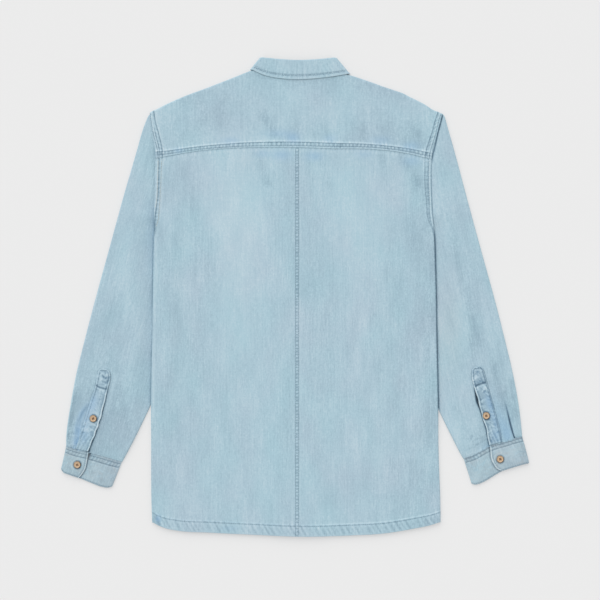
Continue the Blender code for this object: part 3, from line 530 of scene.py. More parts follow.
def tufts(a, b, spread, count, seed, size=(2.2, 5.0)):
    """Small uneven puckers over a patch of a piece; spread is its start and end in a and in b."""
    rng = np.random.default_rng(seed)
    total = 0 * (a + b)
    for _ in range(count):
        a0, b0 = rng.uniform(*spread[0]), rng.uniform(*spread[1])
        turn, long, thin = rng.uniform(-1.2, 1.2), rng.uniform(*size), rng.uniform(0.9, 1.7)
        u = (a - a0) * math.cos(turn) + (b - b0) * math.sin(turn)
        v = (b - b0) * math.cos(turn) - (a - a0) * math.sin(turn)
        total = total + rng.choice((-1, 1)) * rng.uniform(0.5, 1) * bell(u, long) * bell(v, thin)
    return np.clip(total, -1.3, 1.3)


def sewn(d, s, rows, seed, period, rope, ground, seam_wear_and_shading, dark, beside, spread):
    """Relief, and faded cloth with painted light and shade, of two sewn rows at distances d from a seam:
    a groove under each, painted dark as its shade, the roped cloth between them with its own ground tone
    and pale spots, both faded and painted as highlights, and the puckers beside them, raised and painted
    lighter and darker. s runs along the seam."""
    low, high = rows
    between = rise(d, low - 0.2, low + 0.9) * rise(d, high + 0.2, high - 0.9)
    spot = spots(s, period, seed)
    relief = rope * between * (2 * spot - 0.8)
    wear = between * (ground + seam_wear_and_shading * spot)
    for at, depth, shift in ((low, dark[0], 0.0), (high, dark[1], 1.7)):
        groove = bell(d - at, 1.0)
        relief = relief - 0.4 * groove
        wear = wear - depth * groove * (0.8 + 0.3 * wave(s, 2.6 * period, seed + shift))
    away = np.maximum(np.maximum(low - d, d - high), 0)
    puckers = wave(s, 1.15 * period, seed + 2) * np.exp(-away / spread) * rise(away, 0, 1.5)
    return relief + beside * puckers, wear + 0.9 * beside * puckers


# The form of the layers


def side_out(side, y):
    """How far out the body's edge lies."""
    return along(SIDE, y, side)


def front_lift(x, y):
    """How far the buttons, the tucked sleeves and the collar hold the fronts off the table."""
    out = np.abs(x)
    inside = np.where(x < 0, side_out("left", y), side_out("right", y)) - out
    buttons = BUTTON_LIFT * rise(out, *BUTTONS_ACROSS)
    tuck = TUCK_LIFT * rise(inside, *TUCK_INSIDE) * rise(y, *TUCK_TOP) * rise(y, *TUCK_FOOT)
    collar = COLLAR_LIFT * rise(out, *COLLAR_ACROSS) * rise(y, *COLLAR_UP)
    return (buttons**4 + tuck**4 + collar**4) ** 0.25


def front_mid(x, y):
    """The height of the middle of a front's cloth."""
    return front_lift(x, y) + HALF


def back_mid(x, y):
    """The height of the middle of the back's cloth, which lies on the fronts."""
    lift = front_lift(x, y)
    return lift + HALF + BACK_OVER_FRONT - BACK_SINK * lift


def overlap(side, x):
    """How far the right front rises where it lies on the left one's band."""
    return OVERLAP_LIFT * rise(x, *OVERLAP_ACROSS) if side == "right" else 0 * x


# Relief and wear of the body


def armhole_rows(side, y):
    """How far inside the body's edge the armhole's two rows of stitches lie."""
    return [along(ARMHOLE_ROWS[side], y, name) for name in ("near", "far")]


def armhole_pull(y):
    """Where the painted deep shadow line of the tight right armhole lies, inside the body's edge."""
    return 0.4 - 2.5 * bell(y - 268, 18)


def armhole(side, inset, y, yoke):
    """The armhole seam on the body, with painted highlights beside its rows and painted shade in their
    grooves.
    Its rows curve out to the underarm; the right one is pulled tighter, so that a deep line, painted as
    shadow, follows its edge."""
    near, far = armhole_rows(side, y)
    s = y + 0.5 * inset * yoke
    tight = side == "right"
    seed = 1.9 + 2.5 * yoke + tight
    depth, ground = ARMHOLE_DARK[side][yoke]
    relief, wear = sewn(inset, s, (near, far), seed, 7.4, 0.3, ground, 0.4, depth, 0.2, 4.0)
    # Painted highlights by the near row and painted shade lines beside it, and a fainter painted highlight
    # past the far row.
    if yoke:
        wear += 0.95 * bell(inset - near - 1.9, 0.85) * (0.75 + 0.35 * wave(s, 9.0, seed))
        wear -= 1.3 * bell(inset - 0.5 * (near + far) + 1.0, 0.9) * rise(y, 312, 296) * (not tight)
    else:
        wear += 0.95 * bell(inset - near + 0.9, 1.05) * (0.8 + 0.3 * wave(s, 9.0, seed))
        wear -= (0.55 if tight else 1.1) * bell(inset - near - 1.6, 1.3)
    wear += 0.45 * bell(inset - far - 2.3, 1.3) * rise(y, 120, 150) * (0.4 if tight else 1.0)
    # The pulled edge is painted as a deep shadow line, with fainter painted shade between the rows.
    if tight:
        wear -= (0.85 + 1.3 * rise(y, 258, 285)) * bell(inset - armhole_pull(y), 1.5)
        wear -= 0.16 * rise(inset, 7, 9) * rise(inset, 15.5, 13.5)
    raised = FELLED * rise(inset, far + 3.0, far + 0.8)
    shown = rise(y, 104, 128) * rise(inset, 46, 26)
    return (relief + raised) * shown, wear * shown


def body_relief(side, x, y):
    """The back's outer face."""
    inset = side_out(side, y) - SIGN[side] * x
    # The tucks are sunk and painted darker as shade in them.
    tucks = crease(x, y, BACK_TUCKS)
    more, seam_wear_and_shading = armhole(side, inset, y, False)
    relief = crease(x, y, BACK_CREASES) * rise(inset, -2, 22) + 1.2 * tucks + more
    wear = soft_patches(x, y, BACK_PATCHES) + tucks + seam_wear_and_shading

    # The centre seam is felled onto the right panel, with a painted shadow along its edge and a painted
    # highlight past its far row.
    d = x - CENTRE_SEAM_X
    near = rise(np.abs(d - 3), 40, 24)
    more, seam_wear_and_shading = sewn(d, y, CENTRE_ROWS, 0.4, 5.9, 0.3, -0.58, 1.05, (0.4, 0.4), 0.12, 4.0)
    relief += (FELLED * rise(d, -0.2, 0.5) * rise(d, 8.4, 6.2) + more * (d > 0)) * near
    wear += seam_wear_and_shading * near * (d > 0) + lines(d, (0, 1.6, -0.08), (8.6, 1.2, 0.12))

    # Under the yoke seam the cloth dips, then puckers; a painted shadow lies under the seam, the puckers
    # are painted lighter and darker with their relief, and a row of pale dashes lies below.
    below = along(YOKE_SEAM, x) - y
    puckers = wave(x, 8.9, 5.0) * fading(below, 7)
    relief += 0.16 * puckers
    wear += 0.24 * puckers - 0.2 * bell(below, 1.3) + 0.5 * spots(x, 7.4, 2.0) * bell(below - 4.8, 2.2)

    # The hem is turned up twice; its slanting twists run down towards the right. The twists and the puckers
    # are painted lighter and darker with their relief, the stitched line is painted dark, the folded bottom
    # edge and a line above the hem seam carry painted highlights, pale dashes lie along the row, and the
    # band and its left corner are darker.
    above = y - along(HEM, x)
    past = above - HEM_STRIP
    hem = rise(past, 1.6, 0.2)
    band = hem * rise(above, 0.2, 4.0)
    twist = (wave(x + 0.62 * above, 9.0, 2.2) * 0.6 + wave(x + 0.5 * above, 15.0, 4.1) * 0.4) * band
    line = bell(past + HEM_LINE, 0.9)
    puckers = wave(x, 9.8, 7.0) * fading(past, 6) * (1 - hem)
    relief += HEM_EXTRA * 0.75 * hem + 0.45 * twist - 0.4 * line + 0.2 * puckers
    wear += 0.46 * twist + 0.2 * puckers + 0.3 * bell(above, 1.6) - (0.06 + 0.07 * rise(x, 0, 40)) * band
    wear -= (0.25 + 0.5 * spots(x, 6.2, 1.0)) * line
    wear += 0.25 * spots(x, 9.3, 3.0) * bell(past - 1.8, 1.4)
    wear += 0.45 * spots(x + 0.6 * above, 7.7, 5.0) * bell(past + 4.2, 1.5)
    wear += 0.4 * bell(past - 1.4, 1.1) * rise(x, 20, 60) - 0.5 * bell(x + 253, 9.0) * bell(above - 9, 8.0)
    return relief, wear


def yoke_relief(x, y):
    """The yoke's outer face on the back."""
    # The tucks are sunk and painted darker as shade in them.
    tucks = crease(x, y, YOKE_TUCKS)
    relief = crease(x, y, YOKE_CREASES) + 1.2 * tucks
    wear = soft_patches(x, y, YOKE_PATCHES) + tucks

    # Above the seam's rows a ridge is pulled up in small pale points, with short tucks between them; the
    # ridge carries a painted highlight and the tucks painted shade.
    d = y - along(YOKE_SEAM, x)
    rows = [along(YOKE_ROWS, x, name) for name in ("low", "high")]
    depth = (0.6, 0.72 + 0.35 * bell(x + 45, 62))
    more, seam_wear_and_shading = sewn(d, x, rows, 3.3, 6.9, 0.34, -0.42, 1.0, depth, 0.3, 6.0)
    past = d - rows[1]
    ridge = bell(past - 2.4, 1.2)
    pulls = spots(x + 0.2 * past, 5.9, 4.0) * (0.25 + 0.75 * spots(x, 23.0, 1.0))
    pulls = pulls * rise(past, 0.3, 1.5) * fading(past - 1, 5)
    tucks = spots(x + 1.2 * past, 11.0, 6.0) * spots(x, 31.0, 2.5) * rise(past, 2.0, 5.0) * fading(past, 11)
    near = rise(d, 45, 25)
    relief += (FELLED * rise(past, 3.0, 0.6) + more + 0.22 * ridge + 0.25 * pulls - 0.25 * tucks) * near
    wear += (seam_wear_and_shading + 0.36 * ridge + 1.7 * pulls - 0.3 * tucks) * near
    # A painted shadow along the seam's edge, with a painted highlight just above it.
    wear += lines(d, (0.3, 0.9, -0.2), (1.7, 0.8, 0.2))
    wear -= lines(x, (66.6, 1.3, 0.9), (76.5, 1.3, 0.9)) * rise(d, 1, 3) * rise(past, 1, -1)

    # A painted shadow lies on the yoke under the collar's edge, with a paler line right by the edge.
    collar = along(COLLAR_EDGE, x) - y
    wear += 0.25 * bell(collar - 1.0, 2.0) - 0.25 * np.exp(-np.abs(collar) / 9) * rise(np.abs(x), 110, 90)
    for side in SIDES:
        more, seam_wear_and_shading = armhole(side, side_out(side, y) - SIGN[side] * x, y, True)
        own = rise(d, -1, 3)
        relief += more * own
        wear += seam_wear_and_shading * own
    return relief, wear


# Meshes


def box_centre(name):
    """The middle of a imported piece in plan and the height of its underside."""
    low, high = np.array(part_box(name)) / MM
    return np.array(((low[0] + high[0]) / 2, (low[1] + high[1]) / 2, low[2]))


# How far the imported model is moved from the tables' own origin.
HOME = box_centre("button_front_1") * (1, 1, 0) - (0, 262, 0)


def signed_volume(points, faces):
    """Six times the volume that faces hold, below 0 where they look inwards."""
    total = 0.0
    for face in faces:
        for k in range(1, face.shape[1] - 1):
            wedge = np.cross(points[face[:, k]], points[face[:, k + 1]])
            total += np.einsum("ij,ij->", points[face[:, 0]], wedge)
    return total


def mesh_object(name, points, faces, material, slot, **values):
    """A closed piece from points in millimetres and arrays of faces, which are turned to look outwards.
    Points that no face uses are left out. values are numbers or vectors kept at the points."""
    kept = np.unique(np.concatenate([face.ravel() for face in faces]))
    place = np.zeros(len(points), int)
    place[kept] = np.arange(len(kept))
    points = points[kept]
    faces = [place[face] for face in faces]
    if signed_volume(points, faces) < 0:
        faces = [face[:, ::-1] for face in faces]
    totals = np.concatenate([np.full(len(face), face.shape[1]) for face in faces]).astype(np.int32)
    loops = np.concatenate([face.ravel() for face in faces]).astype(np.int32)

    mesh = bpy.data.meshes.new(name)
    mesh.vertices.add(len(points))
    mesh.vertices.foreach_set("co", ((points + HOME) * MM).astype(np.float32).ravel())
    mesh.loops.add(len(loops))
    mesh.loops.foreach_set("vertex_index", loops)
    mesh.polygons.add(len(totals))
    mesh.polygons.foreach_set("loop_start", (np.cumsum(totals) - totals).astype(np.int32))
    mesh.polygons.foreach_set("loop_total", totals)
    mesh.update(calc_edges=True)
    mesh.validate()
    for key, value in values.items():
        vector = value.ndim == 2
        layer = mesh.attributes.new(key, "FLOAT_VECTOR" if vector else "FLOAT", "POINT")
        layer.data.foreach_set("vector" if vector else "value", value[kept].astype(np.float32).ravel())
    mesh.polygons.foreach_set("use_smooth", np.ones(len(totals), bool))
    mesh.materials.append(material)
    obj = bpy.data.objects.new(name, mesh)
    bpy.context.scene.collection.objects.link(obj)
    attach(obj, "root")
    return obj


def normals(grid, ring):
    """The direction across the cloth at each point of a grid."""
    wide = np.concatenate([grid[:, -1:], grid, grid[:, :1]], axis=1) if ring else grid
    across = np.gradient(wide, axis=1)
    if ring:
        across = across[:, 1:-1]
    out = np.cross(across, np.gradient(grid, axis=0))
    return out / np.maximum(np.linalg.norm(out, axis=2, keepdims=True), 1e-9)


def rimmed(shape, left=True, right=True):
    """How thick a wall is near its cut edges, as a share, so that they are rounded."""
    share = np.ones(shape)
    for near, value in ((0, 0.3), (1, 0.85)):
        edges = [share[near], share[-1 - near]]
        edges += [share[:, near]] * left + [share[:, -1 - near]] * right
        for edge in edges:
            edge[:] = np.minimum(edge, value)
    return share


def cloth_grain(grid, turn, squeeze):
    """Cloth coordinates in plan, turned to run along the cloth."""
    c, s = math.cos(turn), math.sin(turn)
    x, y, z = np.moveaxis(grid, 2, 0)
    return np.stack([(x * c + y * s) * squeeze, y * c - x * s, z], axis=2)


def shell(name, grid, share, relief, wear, shade=0, *, facing, half=HALF, turn=0.0, squeeze=1.0,
          ring=False, used=None, step=4, marks=((), ())):
    """A closed cloth wall about a grid of points, half as thick to either side, times share. Its outer
    face has every point of the grid and the inner one every few. facing is a row, a column and 1 or -1
    where the outer face looks up or down there. used leaves cells out, and the inner face keeps the
    rows and columns in marks."""
    shape = count, wide = grid.shape[:2]
    out = normals(grid, ring)
    row, column, look = facing
    if out[row, column, 2] * look < 0:
        out = -out
    top = grid + out * (half * share + relief)[..., None]
    under = grid - out * (half * share)[..., None]
    if used is None:
        used = np.ones((count - 1, wide if ring else wide - 1), bool)
    rows = np.unique([*range(0, count, step), *marks[0], count - 1])
    columns = np.unique([*range(0, wide, step), *marks[1], *([] if ring else [wide - 1])])
    index = np.arange(count * wide).reshape(shape)
    if ring:
        index = np.concatenate([index, index[:, :1]], axis=1)
    corners = index[:-1, :-1], index[:-1, 1:], index[1:, 1:], index[1:, :-1]
    faces = [np.stack([corner[used] for corner in corners], axis=1)]

    # The inner face's cells, and the edges of each; those of only one cell are joined to the outer face.
    places = [(r, c) for r in rows for c in columns]
    low = {place: count * wide + n for n, place in enumerate(places)}
    ends = [*columns, wide] if ring else list(columns)
    edges, quads = {}, []
    for r0, r1 in zip(rows, rows[1:]):
        for c0, c1 in zip(ends, ends[1:]):
            if used[r0, c0]:
                cell = [(r0, c0), (r0, c1), (r1, c1), (r1, c0)]
                quads.append([low[r, c % wide] for r, c in cell[::-1]])
                for a, b in zip(cell, cell[1:] + cell[:1]):
                    edges[(a[0], a[1] % wide), (b[0], b[1] % wide)] = (a, b)
    faces.append(np.array(quads))
    for (start, end), (a, b) in edges.items():
        if (end, start) not in edges:
            steps = abs(b[0] - a[0]) + abs(b[1] - a[1]) + 1
            fine = index[tuple(np.linspace(a, b, steps).round().astype(int).T)]
            faces.append(np.array([[*fine[::-1], low[start], low[end]]]))

    def both(value, inside):
        return np.concatenate([np.broadcast_to(value, shape).ravel(), np.full(len(places), inside)])

    def points(value):
        return np.concatenate([value[0].reshape(-1, 3), value[1][rows][:, columns].reshape(-1, 3)])

    grain = cloth_grain(grid, turn, squeeze)
    return mesh_object(name, points((top, under)), faces, DENIM, "denim", wear=both(wear, 0.25),
                       shade=both(shade, 0.0), grain=points((grain, grain)) * MM)


# The body's pieces


def body_columns(side, t, y, height, toward):
    """A body panel's points; t is 0 at its start, 1 where the side fold starts and 2 at its end, and
    toward is 1 or -1 where the fold turns down or up."""
    sign = SIGN[side]
    edge = side_out(side, y)
    inset = sign * (edge - SIDE_INSET)
    turn = (back_mid(inset, y) - front_mid(inset, y)) / 2
    flat = edge - HALF - turn
    start = sign * CENTRE_SEAM_X if toward > 0 else -OVERLAP_WIDTH
    x = start + np.minimum(t, 1) * (flat - start)
    folds = rise(y, *SIDE_FOLD)
    angle = np.maximum(t - 1, 0) * (math.pi / 2 - np.arcsin(SIDE_GAP / 2 / turn))
    arc_out = flat + turn * np.sin(angle)
    arc_z = height(inset, y) - toward * turn * (1 - np.cos(angle))
    open_out = flat + (edge - flat) * np.maximum(t - 1, 0)
    open_z = height(sign * open_out, y)
    out = np.where(t > 1, open_out + (arc_out - open_out) * folds, x)
    z = np.where(t > 1, open_z + (arc_z - open_z) * folds, height(sign * x, y))
    return np.stack([sign * out, y, z], axis=2)


def build_back(side):
    sign = SIGN[side]
    reach, length = BODY_REACH, BODY_LENGTH
    t = spaced((0, 0.8, 0.4), (0.8, 12, 0.7), (12, reach - 18, 1.9), (reach - 18, reach, 0.9)) / reach
    t = np.concatenate([t, np.linspace(1, 2, 10)[1:]])
    down = spaced((0, 0.8, 0.4), (0.8, 8, 1.2), (8, 660, 1.65), (660, 678, 1.0), (678, 698, 1.4),
                  (698, length, 0.5)) / length
    tt, dd = np.meshgrid(t, down)
    start = sign * CENTRE_SEAM_X

    def across(at):
        return sign * (start + np.minimum(tt, 1) * (side_out(side, at) - start))

    top = along(YOKE_SEAM, across(YOKE_Y)) + YOKE_LAP
    y = top + (along(HEM, across(HEM_Y)) - top) * dd
    grid = body_columns(side, tt, y, back_mid, 1)
    x = grid[..., 0]
    relief, wear = body_relief(side, x, y)
    relief *= rise(tt, 1.9, 1.0)
    # Painted shade and highlight lines inside the side folds.
    edge = lines(side_out(side, y) - sign * x, *BACK_EDGES[side])
    wear += edge * rise(y, 125, 100) * rise(y, -225, -190)
    share = rimmed(x.shape, left=False, right=False)
    return shell("denim_back_" + side, grid, share, relief * share, wear, soft_patches(x, y, BACK_SHADES),
                 facing=(20, 40, 1))


def build_yoke():
    """The yoke runs up the back, turns over the shoulders and ends a little way down the fronts. Between
    the shoulders it stops at the neck."""
    neck = [SIGN[side] * NECK_OUT[side] / side_out(side, SHOULDER_Y) for side in SIDES]
    parts = [neck]
    for side in SIDES:
        reach = side_out(side, SHOULDER_Y)
        runs = ((0, NECK_OUT[side], 1.5), (NECK_OUT[side], reach - 16, 1.5), (reach - 16, reach, 0.9))
        parts.append(SIGN[side] * spaced(*runs) / reach)
    part = np.unique(np.round(np.concatenate(parts), 6))

    def layer(y, height):
        x = part * np.where(part < 0, side_out("left", y), side_out("right", y))
        return np.stack([x, y, height(x, y)], axis=1)

    level = np.ones(len(part))
    foot = along(YOKE_SEAM, layer(YOKE_Y * level, back_mid)[:, 0])
    head_x = layer(SHOULDER_Y * level, back_mid)[:, 0]
    line = along(SHOULDER, head_x) - HALF
    turn = (back_mid(head_x, line) - front_mid(head_x, line)) / 2
    width = np.where(part < 0, -neck[0], neck[1])
    beside = np.abs(part) <= width + 1e-6
    top = np.where(np.abs(part) >= width - 1e-6, line - turn, along(BACK_NECK, head_x))
    risers = spaced((0, 0.8, 0.4), (0.8, 14, 0.75))
    backs = [foot + r for r in risers]
    backs += [backs[-1] + (top - backs[-1]) * share for share in np.linspace(0, 1, 62)[1:]]
    backs = [layer(y, back_mid) for y in backs]
    x, y = backs[-1][:, :2].T
    low = front_mid(x, y)
    half_turn = (back_mid(x, y) - low) / 2
    turns = [np.stack([x, y + half_turn * math.sin(a), low + half_turn * (1 + math.cos(a))], axis=1)
             for a in np.linspace(0, math.pi, 11)[1:]]
    fronts = [layer(top - share * (YOKE_FRONT_DROP - turn), front_mid)
              for share in np.linspace(0, 1, 10)[1:]]
    grid = np.array(backs + turns + fronts)
    last = len(backs) - 1
    used = np.ones((grid.shape[0] - 1, grid.shape[1] - 1), bool)
    used[last:, beside[1:] & beside[:-1]] = False
    fade = np.interp(np.arange(len(grid)), (last, last + 11), (1, 0))[:, None]
    relief, wear = yoke_relief(grid[..., 0], grid[..., 1])
    shade = soft_patches(grid[..., 0], grid[..., 1], YOKE_SHADES) * fade
    share = rimmed(grid.shape[:2])
    for edge in (share[:, :2], share[:, -2:]):
        edge[:] = np.maximum(edge, 0.6)
    return shell("denim_back_yoke", grid, share, relief * fade * share, wear * fade, shade,
                 facing=(30, 60, 1), squeeze=0.72, used=used,
                 marks=((last,), np.flatnonzero(beside)[[0, -1]]))


def build_front(side):
    sign = SIGN[side]
    t = np.concatenate([spaced((0, 1, 0.5), (1, BODY_REACH, 5.0)) / BODY_REACH, np.linspace(1, 2, 8)[1:]])
    down = spaced((0, 1, 0.5), (1, 675, 6.0), (675, BODY_LENGTH, 2.5)) / BODY_LENGTH
    tt, dd = np.meshgrid(t, down)
    base = -OVERLAP_WIDTH + np.minimum(tt, 1) * (side_out(side, NECK_Y) + OVERLAP_WIDTH)
    neck = along(FRONT_NECK, np.clip(base / NECK_OUT[side], 0, 1))
    seam = along(SHOULDER, sign * base) - YOKE_FRONT_DROP - YOKE_FRONT_GAP
    top = np.where(base < NECK_OUT[side] - 0.5, neck, seam)
    y = top + (along(HEM, sign * base) + FRONT_HEM_SHORT - top) * dd
    grid = body_columns(side, tt, y, lambda x, y: front_mid(x, y) + overlap(side, x), -1)
    x = grid[..., 0]
    above = y - along(HEM, x) - FRONT_HEM_SHORT
    band = bell(sign * x + OVERLAP_WIDTH - FRONT_BAND, 2.0) * (tt < 0.5)
    share = rimmed(x.shape, right=False)
    return shell("denim_front_" + side, grid, share, 0 * x, -0.5 * (bell(above - HEM_STRIP, 2.0) + band),
                 facing=(8, 8, -1))


# Sleeves, cuffs and plackets


def cuff_lap(side, down):
    """Where the end of the cuff that laps over lies."""
    return along(CUFF_LAP[side], down, "reach")


def cuff_point(side, reach, down):
    """A plan point of the cuff; reach runs from its outer fold to the inner one, down from its seam."""
    seam_out, seam_y, hem_out, hem_y = (along(CUFF[side], reach, name) for name in list(CUFF[side])[1:])
    return seam_out + (hem_out - seam_out) * down, seam_y + (hem_y - seam_y) * down


def button_shade(name, grid):
    """A ring of painted shadow in the cloth about a button, and a paler ring about that."""
    x, y, _ = box_centre(name) - HOME
    return lines(np.hypot(grid[..., 0] - x, grid[..., 1] - y), (7.0, 1.4, -1.1), (10.0, 1.8, 0.3))


def sleeve_plan(side, part, reach):
    """Plan points of the sleeve; part runs from the armhole to the cuff and reach from the outer fold
    to the inner one."""
    outer = track(SLEEVE_OUTER[side], part)
    inner = track(SLEEVE_INNER[side], part)
    out, y = (a + (b - a) * reach for a, b in zip(outer, inner))
    arm_y = SHOULDER_Y + (UNDERARM_Y - SHOULDER_Y) * reach
    ends = side_out(side, SHOULDER_Y), side_out(side, UNDERARM_Y)
    bow = side_out(side, arm_y) - (ends[0] + (ends[1] - ends[0]) * reach)
    out = out + bow * np.maximum(0, 1 - part / 0.3) ** 2
    seam = cuff_point(side, reach, 0)
    blend = rise(part, 0.75, 1)
    return out + (seam[0] - out) * blend, y + (seam[1] - 1.5 - y) * blend


def sleeve_high(side, part, reach, out, y):
    """The height of the sleeve's upper cloth: tucked under the body, free beside it, lower at the cuff."""
    away = np.hypot(np.maximum(0, out - side_out(side, y) - 3), np.maximum(0, y - UNDERARM_Y - 8))
    high = SLEEVE_TUCKED + (SLEEVE_FREE - SLEEVE_TUCKED) * rise(away, 0, SLEEVE_RISE)
    high = high + (SLEEVE_END - high) * rise(part, CUFF_FROM, 1)
    pleat = rise(reach, *PLEAT[side]) * (1 - rise(reach, *SLIT[side]))
    return high + PLEAT_RISE * pleat * rise(part, CUFF_FROM, 0.98)


def from_line(out, y, outs, ys):
    """How far points lie from a line of points, and how far along it, in plan."""
    best = np.full(out.shape, 1e9)
    run = np.zeros(out.shape)
    for x0, y0, x1, y1, reached in zip(outs, ys, outs[1:], ys[1:], run_of(outs, ys)):
        length = math.hypot(x1 - x0, y1 - y0)
        t = np.clip(((out - x0) * (x1 - x0) + (y - y0) * (y1 - y0)) / length**2, 0, 1)
        away = np.hypot(out - x0 - t * (x1 - x0), y - y0 - t * (y1 - y0))
        run = np.where(away < best, reached + t * length, run)
        best = np.minimum(best, away)
    return best, run


def sleeve_relief(side, part, reach, out, y):
    """Relief, wear and shade of the sleeve's upper face."""
    left = side == "left"
    width = SLEEVE_WIDTH - SLEEVE_TAPER * part
    s, across = part * SLEEVE_LENGTH, reach * width
    rows = []
    for p0, r0, p1, r1, wide, size in SLEEVE_CREASES[side]:
        mid = SLEEVE_WIDTH - SLEEVE_TAPER * (p0 + p1) / 2
        rows.append((p0 * SLEEVE_LENGTH, r0 * mid, p1 * SLEEVE_LENGTH, r1 * mid, wide, size))
    inside = rise(reach, 0.0, 0.08) * rise(reach, 1.0, 0.92)
    # The streaks are raised and painted lighter and darker with their height, as light and shade.
    streaks = crease(out, y, SLEEVE_STREAKS[side])
    relief = (0.7 * crease(s, across, rows) + 2.0 * streaks) * inside
    wear = soft_patches(part, reach, SLEEVE_PATCHES[side]) + streaks
    # Each pleat is raised along its fold, with a painted shadow at its edge and a painted highlight beside
    # it.
    for p0, r0, p1, r1, size, fade in PLEAT_FOLDS[side]:
        t = np.clip((part - p0) / (p1 - p0), 0, 1)
        d = (reach - r0 - (r1 - r0) * t - 0.012 * np.sin(math.pi * t)) * width
        grow = rise(part, p0, p0 + 0.5 * (p1 - p0))
        large = size > 2
        deep = (0.4 if left else 1.6 if large else 0.5) * size
        relief += size * grow * (rise(d, -0.5, 0.9) * fading(d, fade) - 0.35 * bell(d + 1.2, 1.6))
        wide = 1.1 + 0.6 * large * bell(t - 0.5, 0.25)
        wear += grow * (0.4 * bell(d + 3.4, 1.5) - deep * bell(d + 0.3, wide))

    # Beside the placket's free edge, from its box down, the sleeve is in deep shadow.
    rows = PLACKET[side]
    away, run = from_line(out, y, rows["inner_out"], rows["inner_y"])
    low = rise(run, 34, 44)
    gape = lines(run, (130, 22, 0.25), (156, 6, 0.5)) if left else bell(run - 61, 14)
    deep = 1.3 + 1.3 * gape if left else 1.6 + 2.2 * gape
    wear -= deep * low * bell(away - 0.6 - 1.2 * gape, 1.0 + 1.2 * gape)
    # On the left a paler band lies a little way from the edge, and above the box a fainter painted shadow
    # runs beside it.
    if left:
        wear += 0.25 * rise(y, -120, -140) * rise(y, -225, -200) * bell(away - 7.0, 5.0)
    wear -= (0.55 if left else 0.35) * (1 - low) * bell(away - 0.6, 1.2) * rise(run, 2, 6)
    # A painted shadow runs along the placket's outer edge too.
    away, run = from_line(out, y, rows["outer_out"], rows["outer_y"])
    outline = 0.4 * rise(run, 75, 45) if left else 1.0
    wear -= outline * bell(away - 0.4, 1.0) * rise(run, 2, 6) * (0.8 + 0.3 * wave(run, 19.0, 2.0))
    # Puckers about the placket, raised and painted lighter and darker with their relief.
    knots = tufts(out, y, ((325, 400), (-280, -125)), 150, 5 + SIGN[side], (3.0, 7.0)) * np.exp(-away / 9.0)

    # Gathers at the cuff, raised and painted lighter and darker, and painted shadow at both ends, by the
    # armhole seam and by the cuff.
    end = (1 - part) * SLEEVE_LENGTH
    puckers = wave(across, 8.5, 1.0 + SIGN[side]) * fading(end, 11)
    near = ((385, 415), (-275, -225)) if left else ((300, 345), (-290, -245))
    puckers += 0.9 * tufts(out, y, near, 34, 8 + SIGN[side], (4.0, 9.0))
    relief += 0.2 * knots + 0.35 * puckers * inside
    wear += 0.3 * knots + 0.36 * puckers - 0.3 * bell(s, 3.0)
    wear -= lines(end, (1.0, 2.0, 0.5)) if left else lines(end, (1.0, 2.0, 1.2), (0, 18.0, 0.3))

    # Painted shadow darkens the sleeve where the side of the body lies over it; on the left it is also
    # bluer and runs up beside the armhole seam.
    away = out - side_out(side, y)
    beside = fading(away, 13) * rise(y, 200, 140) * rise(y, -215, -180) * (0.35 + 0.65 * rise(y, 10, 100))
    edge = bell(away - 0.4, 2.0) * rise(y, 128, 105) * rise(y, -235, -200)
    shade = soft_patches(part, reach, SLEEVE_SHADES[side])
    if left:
        wear -= 0.25 * beside + 0.75 * edge * (0.65 + 0.35 * np.sin(y / 31.0))
        arm = rise(y, 118, 140) * rise(y, 300, 255)
        wear -= (0.25 * bell(away - 1.5, 3.0) + 0.2 * fading(away, 11)) * arm
        # The soft fold is painted as a shaded line with a highlight beside it, bluer about it.
        fold, run = from_line(out, y, *np.array(SLEEVE_LOBE).T)
        streak = rise(run, 0, 14) * (0.7 + 0.3 * wave(run, 23.0, 1.0))
        wear += lines(fold, (0, 2.2, -0.65), (0, 9.0, -0.15), (5.0, 2.5, 0.3)) * streak
        return relief, wear, shade + 0.4 * beside + 0.7 * bell(fold - 2.0, 4.0) * streak
    # On the right the painted shadow beside the body is near black, the gathers by the cuff are painted
    # darker as shade, and the deep shadow line of the pulled armhole runs on over the sleeve.
    wear -= 1.9 * edge + 0.4 * soft_patches(out, y, SLEEVE_PULLS) * (0.8 + 0.5 * puckers)
    wear -= 1.7 * bell(away + armhole_pull(y), 1.5) * rise(y, 236, 256)
    return relief, wear, shade + soft_patches(out, y, SLEEVE_GREY)


